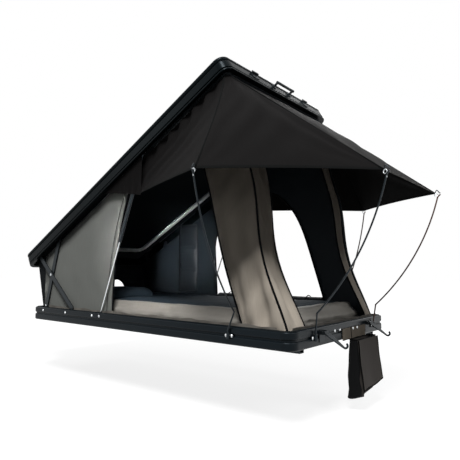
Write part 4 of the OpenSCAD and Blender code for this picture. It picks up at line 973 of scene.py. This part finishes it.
def gathered(name, rule, cols, facing):
    strip = grid_cloth(f"wall_hem_{name}", rule, cols, 4, [hem_grey, hem_grey], facing=facing)
    hang(strip, "gathered", "grey_canvas", keep=0.2)


for name, side in SIDES:
    def side_hem(s, t):
        ruck = 0.003 * sin(60 * s) * t + 0.002 * sin(143 * s + 2) * t
        return (-0.5 * HEM_RUN + HEM_RUN * s + 0.02, side * (HALF_W - CANVAS_IN + HEM_OUT + ruck),
                HEM_LOW + HEM_H * t + 0.003 * sin(37 * s) * t + 0.002 * sin(91 * s) * t)

    gathered(name, side_hem, 150, (0, side, 0))


def rear_hem(s, t):
    ruck = 0.003 * sin(40 * s) * t + 0.002 * sin(97 * s + 2) * t
    return (rear_foot[0] + REAR_HEM_OUT + 0.006 * t + 0.6 * ruck, near_y + (far_y - near_y) * s,
            HEM_LOW + HEM_H * t + 0.002 * sin(31 * s) * t)


gathered("rear", rear_hem, 100, (1, 0, 0))


# Seams of the sewn pieces: runs of single stitches in waxed thread beside the bindings and hems.
# One tree of nodes lays a short thread along each run at an even pitch.
def grown(label, inputs, build):
    """A node tree with named inputs and a finish; build links its nodes and gives the geometry that leaves it."""
    tree = bpy.data.node_groups.new(label, "GeometryNodeTree")
    sockets = {}
    for name, kind in {"Base": "Geometry", **inputs, "Finish": "Material"}.items():
        sockets[name] = tree.interface.new_socket(name, in_out="INPUT", socket_type="NodeSocket" + kind).identifier
    tree.interface.new_socket("Made", in_out="OUTPUT", socket_type="NodeSocketGeometry")
    given = add(tree, "NodeGroupInput").outputs
    whole = add(tree, "GeometryNodeRealizeInstances", {"Geometry": build(tree, given)})
    dressed = add(tree, "GeometryNodeSetMaterial", {"Geometry": whole, "Material": given["Finish"]})
    add(tree, "NodeGroupOutput", {"Made": dressed})
    return tree, sockets


def planted(name, verts, edges, grower, values, facing=None):
    """A piece that a tree of nodes makes on points or lines, as a plain mesh."""
    mesh = bpy.data.meshes.new(name)
    mesh.from_pydata([tuple(v) for v in verts], edges, [])
    if facing is not None:
        outward = mesh.attributes.new("facing", "FLOAT_VECTOR", "POINT")
        outward.data.foreach_set("vector", array(facing, float).ravel())
    obj = bpy.data.objects.new(name, mesh)
    scene.collection.objects.link(obj)
    tree, sockets = grower
    maker = obj.modifiers.new("maker", "NODES")
    maker.node_group = tree
    for label, value in values.items():
        maker[sockets[label]] = value
    baked(obj)
    return obj


def lay_stitches(tree, given):
    run = add(tree, "GeometryNodeMeshToCurve", {"Mesh": given["Base"]})
    even = add(tree, "GeometryNodeResampleCurve", {"Curve": run, "Length": given["Pitch"]}, mode="LENGTH")
    thread = add(tree, "GeometryNodeMeshCylinder", {
        "Vertices": 5, "Radius": given["Thread radius"], "Depth": given["Stitch length"]})
    along = add(tree, "GeometryNodeInputTangent")
    way = add(tree, "FunctionNodeAlignRotationToVector", {"Vector": along}, axis="Z")
    return add(tree, "GeometryNodeInstanceOnPoints", {"Points": even, "Instance": thread, "Rotation": way})


stitches = grown("stitch runs", {"Pitch": "Float", "Stitch length": "Float", "Thread radius": "Float"}, lay_stitches)
thread_finish = powder_coat("waxed grey thread", "#5b5852", rough=0.6, lump_mm=2.0)
SEW = {"Pitch": 0.0085, "Stitch length": 0.0055, "Thread radius": 0.0007, "Finish": thread_finish}
THREAD_OUT = 0.0016


def sewn(name, runs):
    verts, edges = [], []
    for run in runs:
        first = len(verts)
        verts.extend(run)
        edges.extend((first + i, first + i + 1) for i in range(len(run) - 1))
    made = planted(name, verts, edges, stitches, SEW)
    return made


wall_runs = [[near_side(x + shift, z) + array([0, -THREAD_OUT, 0]) for x, z in line]
             for line, shift in ((front_edge, -0.014), (rear_edge, 0.014), (rear_edge, 0.022))]
lay_flat(sewn("wall_stitches_near", wall_runs))
jamb_run = [array(rear_plane(y - 0.013, s)) + array(rear_out) * THREAD_OUT for y, s in near_inner]
lay_flat(sewn("wall_stitches_rear", [jamb_run]), **fold_back)
hem_runs = [[point_of(rear_rule, s, t) + (0.0008, 0, 0.0014) for s in linspace(0.01, 0.99, 60)]
            for t in (1 - HEM_SHARE, 0.995)]
tuck_up(sewn("canopy_stitches_rear", hem_runs), *rear_tuck)
bag_runs = [[point_of(bag_front, s, t) + (THREAD_OUT, 0, 0) for s, t in run] for run in (
    [(0.04, t) for t in linspace(0.02, 0.96, 30)], [(s, 0.96) for s in linspace(0.04, 0.96, 30)],
    [(0.96, t) for t in linspace(0.96, 0.02, 30)])]
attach(sewn("bag_stitches", bag_runs), "bag")


# Fasteners: zinc-plated pan-head screws on washers in the rails, the rod sockets, the latch plates and the pivots,
# and rivets through the hoop. One tree of nodes sets a head on every spot, turned at random about its own axis.
def set_heads(tree, given):
    dome = add(tree, "GeometryNodeMeshUVSphere", {"Segments": 14, "Rings": 8, "Radius": given["Head radius"]})
    flat = add(tree, "GeometryNodeTransform", {"Geometry": dome, "Scale": (1.0, 1.0, 0.55)})
    washer_r = add(tree, "ShaderNodeMath", {0: given["Head radius"], 1: 1.4}, operation="MULTIPLY")
    washer = add(tree, "GeometryNodeMeshCylinder", {"Vertices": 14, "Radius": washer_r, "Depth": given["Washer"]})
    slot = add(tree, "GeometryNodeMeshCylinder", {
        "Vertices": 6, "Radius": given["Washer"], "Depth": given["Head radius"]})
    head = add(tree, "GeometryNodeJoinGeometry")
    for part in (washer, slot, flat):
        tree.links.new(part.outputs[0], head.inputs[0])
    smooth = add(tree, "GeometryNodeSetShadeSmooth", {"Geometry": head})
    outward = add(tree, "GeometryNodeInputNamedAttribute", {"Name": "facing"}, data_type="FLOAT_VECTOR")
    stand = add(tree, "FunctionNodeAlignRotationToVector", {"Vector": outward}, axis="Z")
    turn_by = add(tree, "FunctionNodeRandomValue", {2: 0.0, 3: 6.283, "Seed": given["Seed"]}, data_type="FLOAT")
    spin = add(tree, "FunctionNodeAxisAngleToRotation", {"Axis": (0, 0, 1), "Angle": turn_by.outputs[1]})
    way = add(tree, "FunctionNodeRotateRotation", {"Rotation": stand, "Rotate By": spin}, rotation_space="LOCAL")
    return add(tree, "GeometryNodeInstanceOnPoints", {"Points": given["Base"], "Instance": smooth, "Rotation": way})


screw_heads = grown("pan head screws", {"Head radius": "Float", "Washer": "Float", "Seed": "Int"}, set_heads)
screw_zinc = bright_metal("bright zinc-plated screws", "#e3e6e8", 0.28, bare=0.5)
RAIL_Z, SOCKET_Z, PLATE_Z = 0.091, 0.067, 0.078
SOCKET_OUT, PLATE_OUT = 0.003, 0.006
base_spots = []
for side in (-1, 1):
    base_spots += [((x, side * HALF_W, RAIL_Z), (0, side, 0)) for x in (-0.932, -0.66, -0.366, -0.293)]
    base_spots += [((x, side * (HALF_W + SOCKET_OUT), SOCKET_Z), (0, side, 0)) for x in (0.712, 0.744)]
    base_spots += [((HALF_L + SOCKET_OUT, side * y, SOCKET_Z), (1, 0, 0)) for y in (0.356, 0.388)]
    base_spots += [((-0.962, side * 0.54, 0.12), (0, side, 0))]
base_spots += [((HALF_L, y, PLATE_Z), (1, 0, 0)) for y in (-0.138, -0.077)]
base_spots += [((HALF_L + PLATE_OUT, y, PLATE_Z - 0.006), (1, 0, 0)) for y in (0.079, 0.134)]
lid_spots = [((-1.055, side * 0.548, 0.476), (0, side, 0)) for side in (-1, 1)]
rivet_spots = [(under_lid(u, side * 0.42, 0.0517), (sin(LID_TILT), 0, -cos(LID_TILT)))
               for u in (0.32, 0.36, 1.08, 1.12) for side in (-1, 1)]
for name, body, spots, radius, washer, seed, finish in (
        ("base_screws", "base", base_spots, 0.0058, 0.002, 7, screw_zinc),
        ("lid_screws", "lid", lid_spots, 0.007, 0.002, 7, screw_zinc),
        ("hoop_rivets", "lid", rivet_spots, 0.005, 0.0012, 3, zinc)):
    values = {"Head radius": radius, "Washer": washer, "Seed": seed, "Finish": finish}
    made = planted(name, [s for s, _ in spots], [], screw_heads, values, facing=[f for _, f in spots])
    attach(made, body)
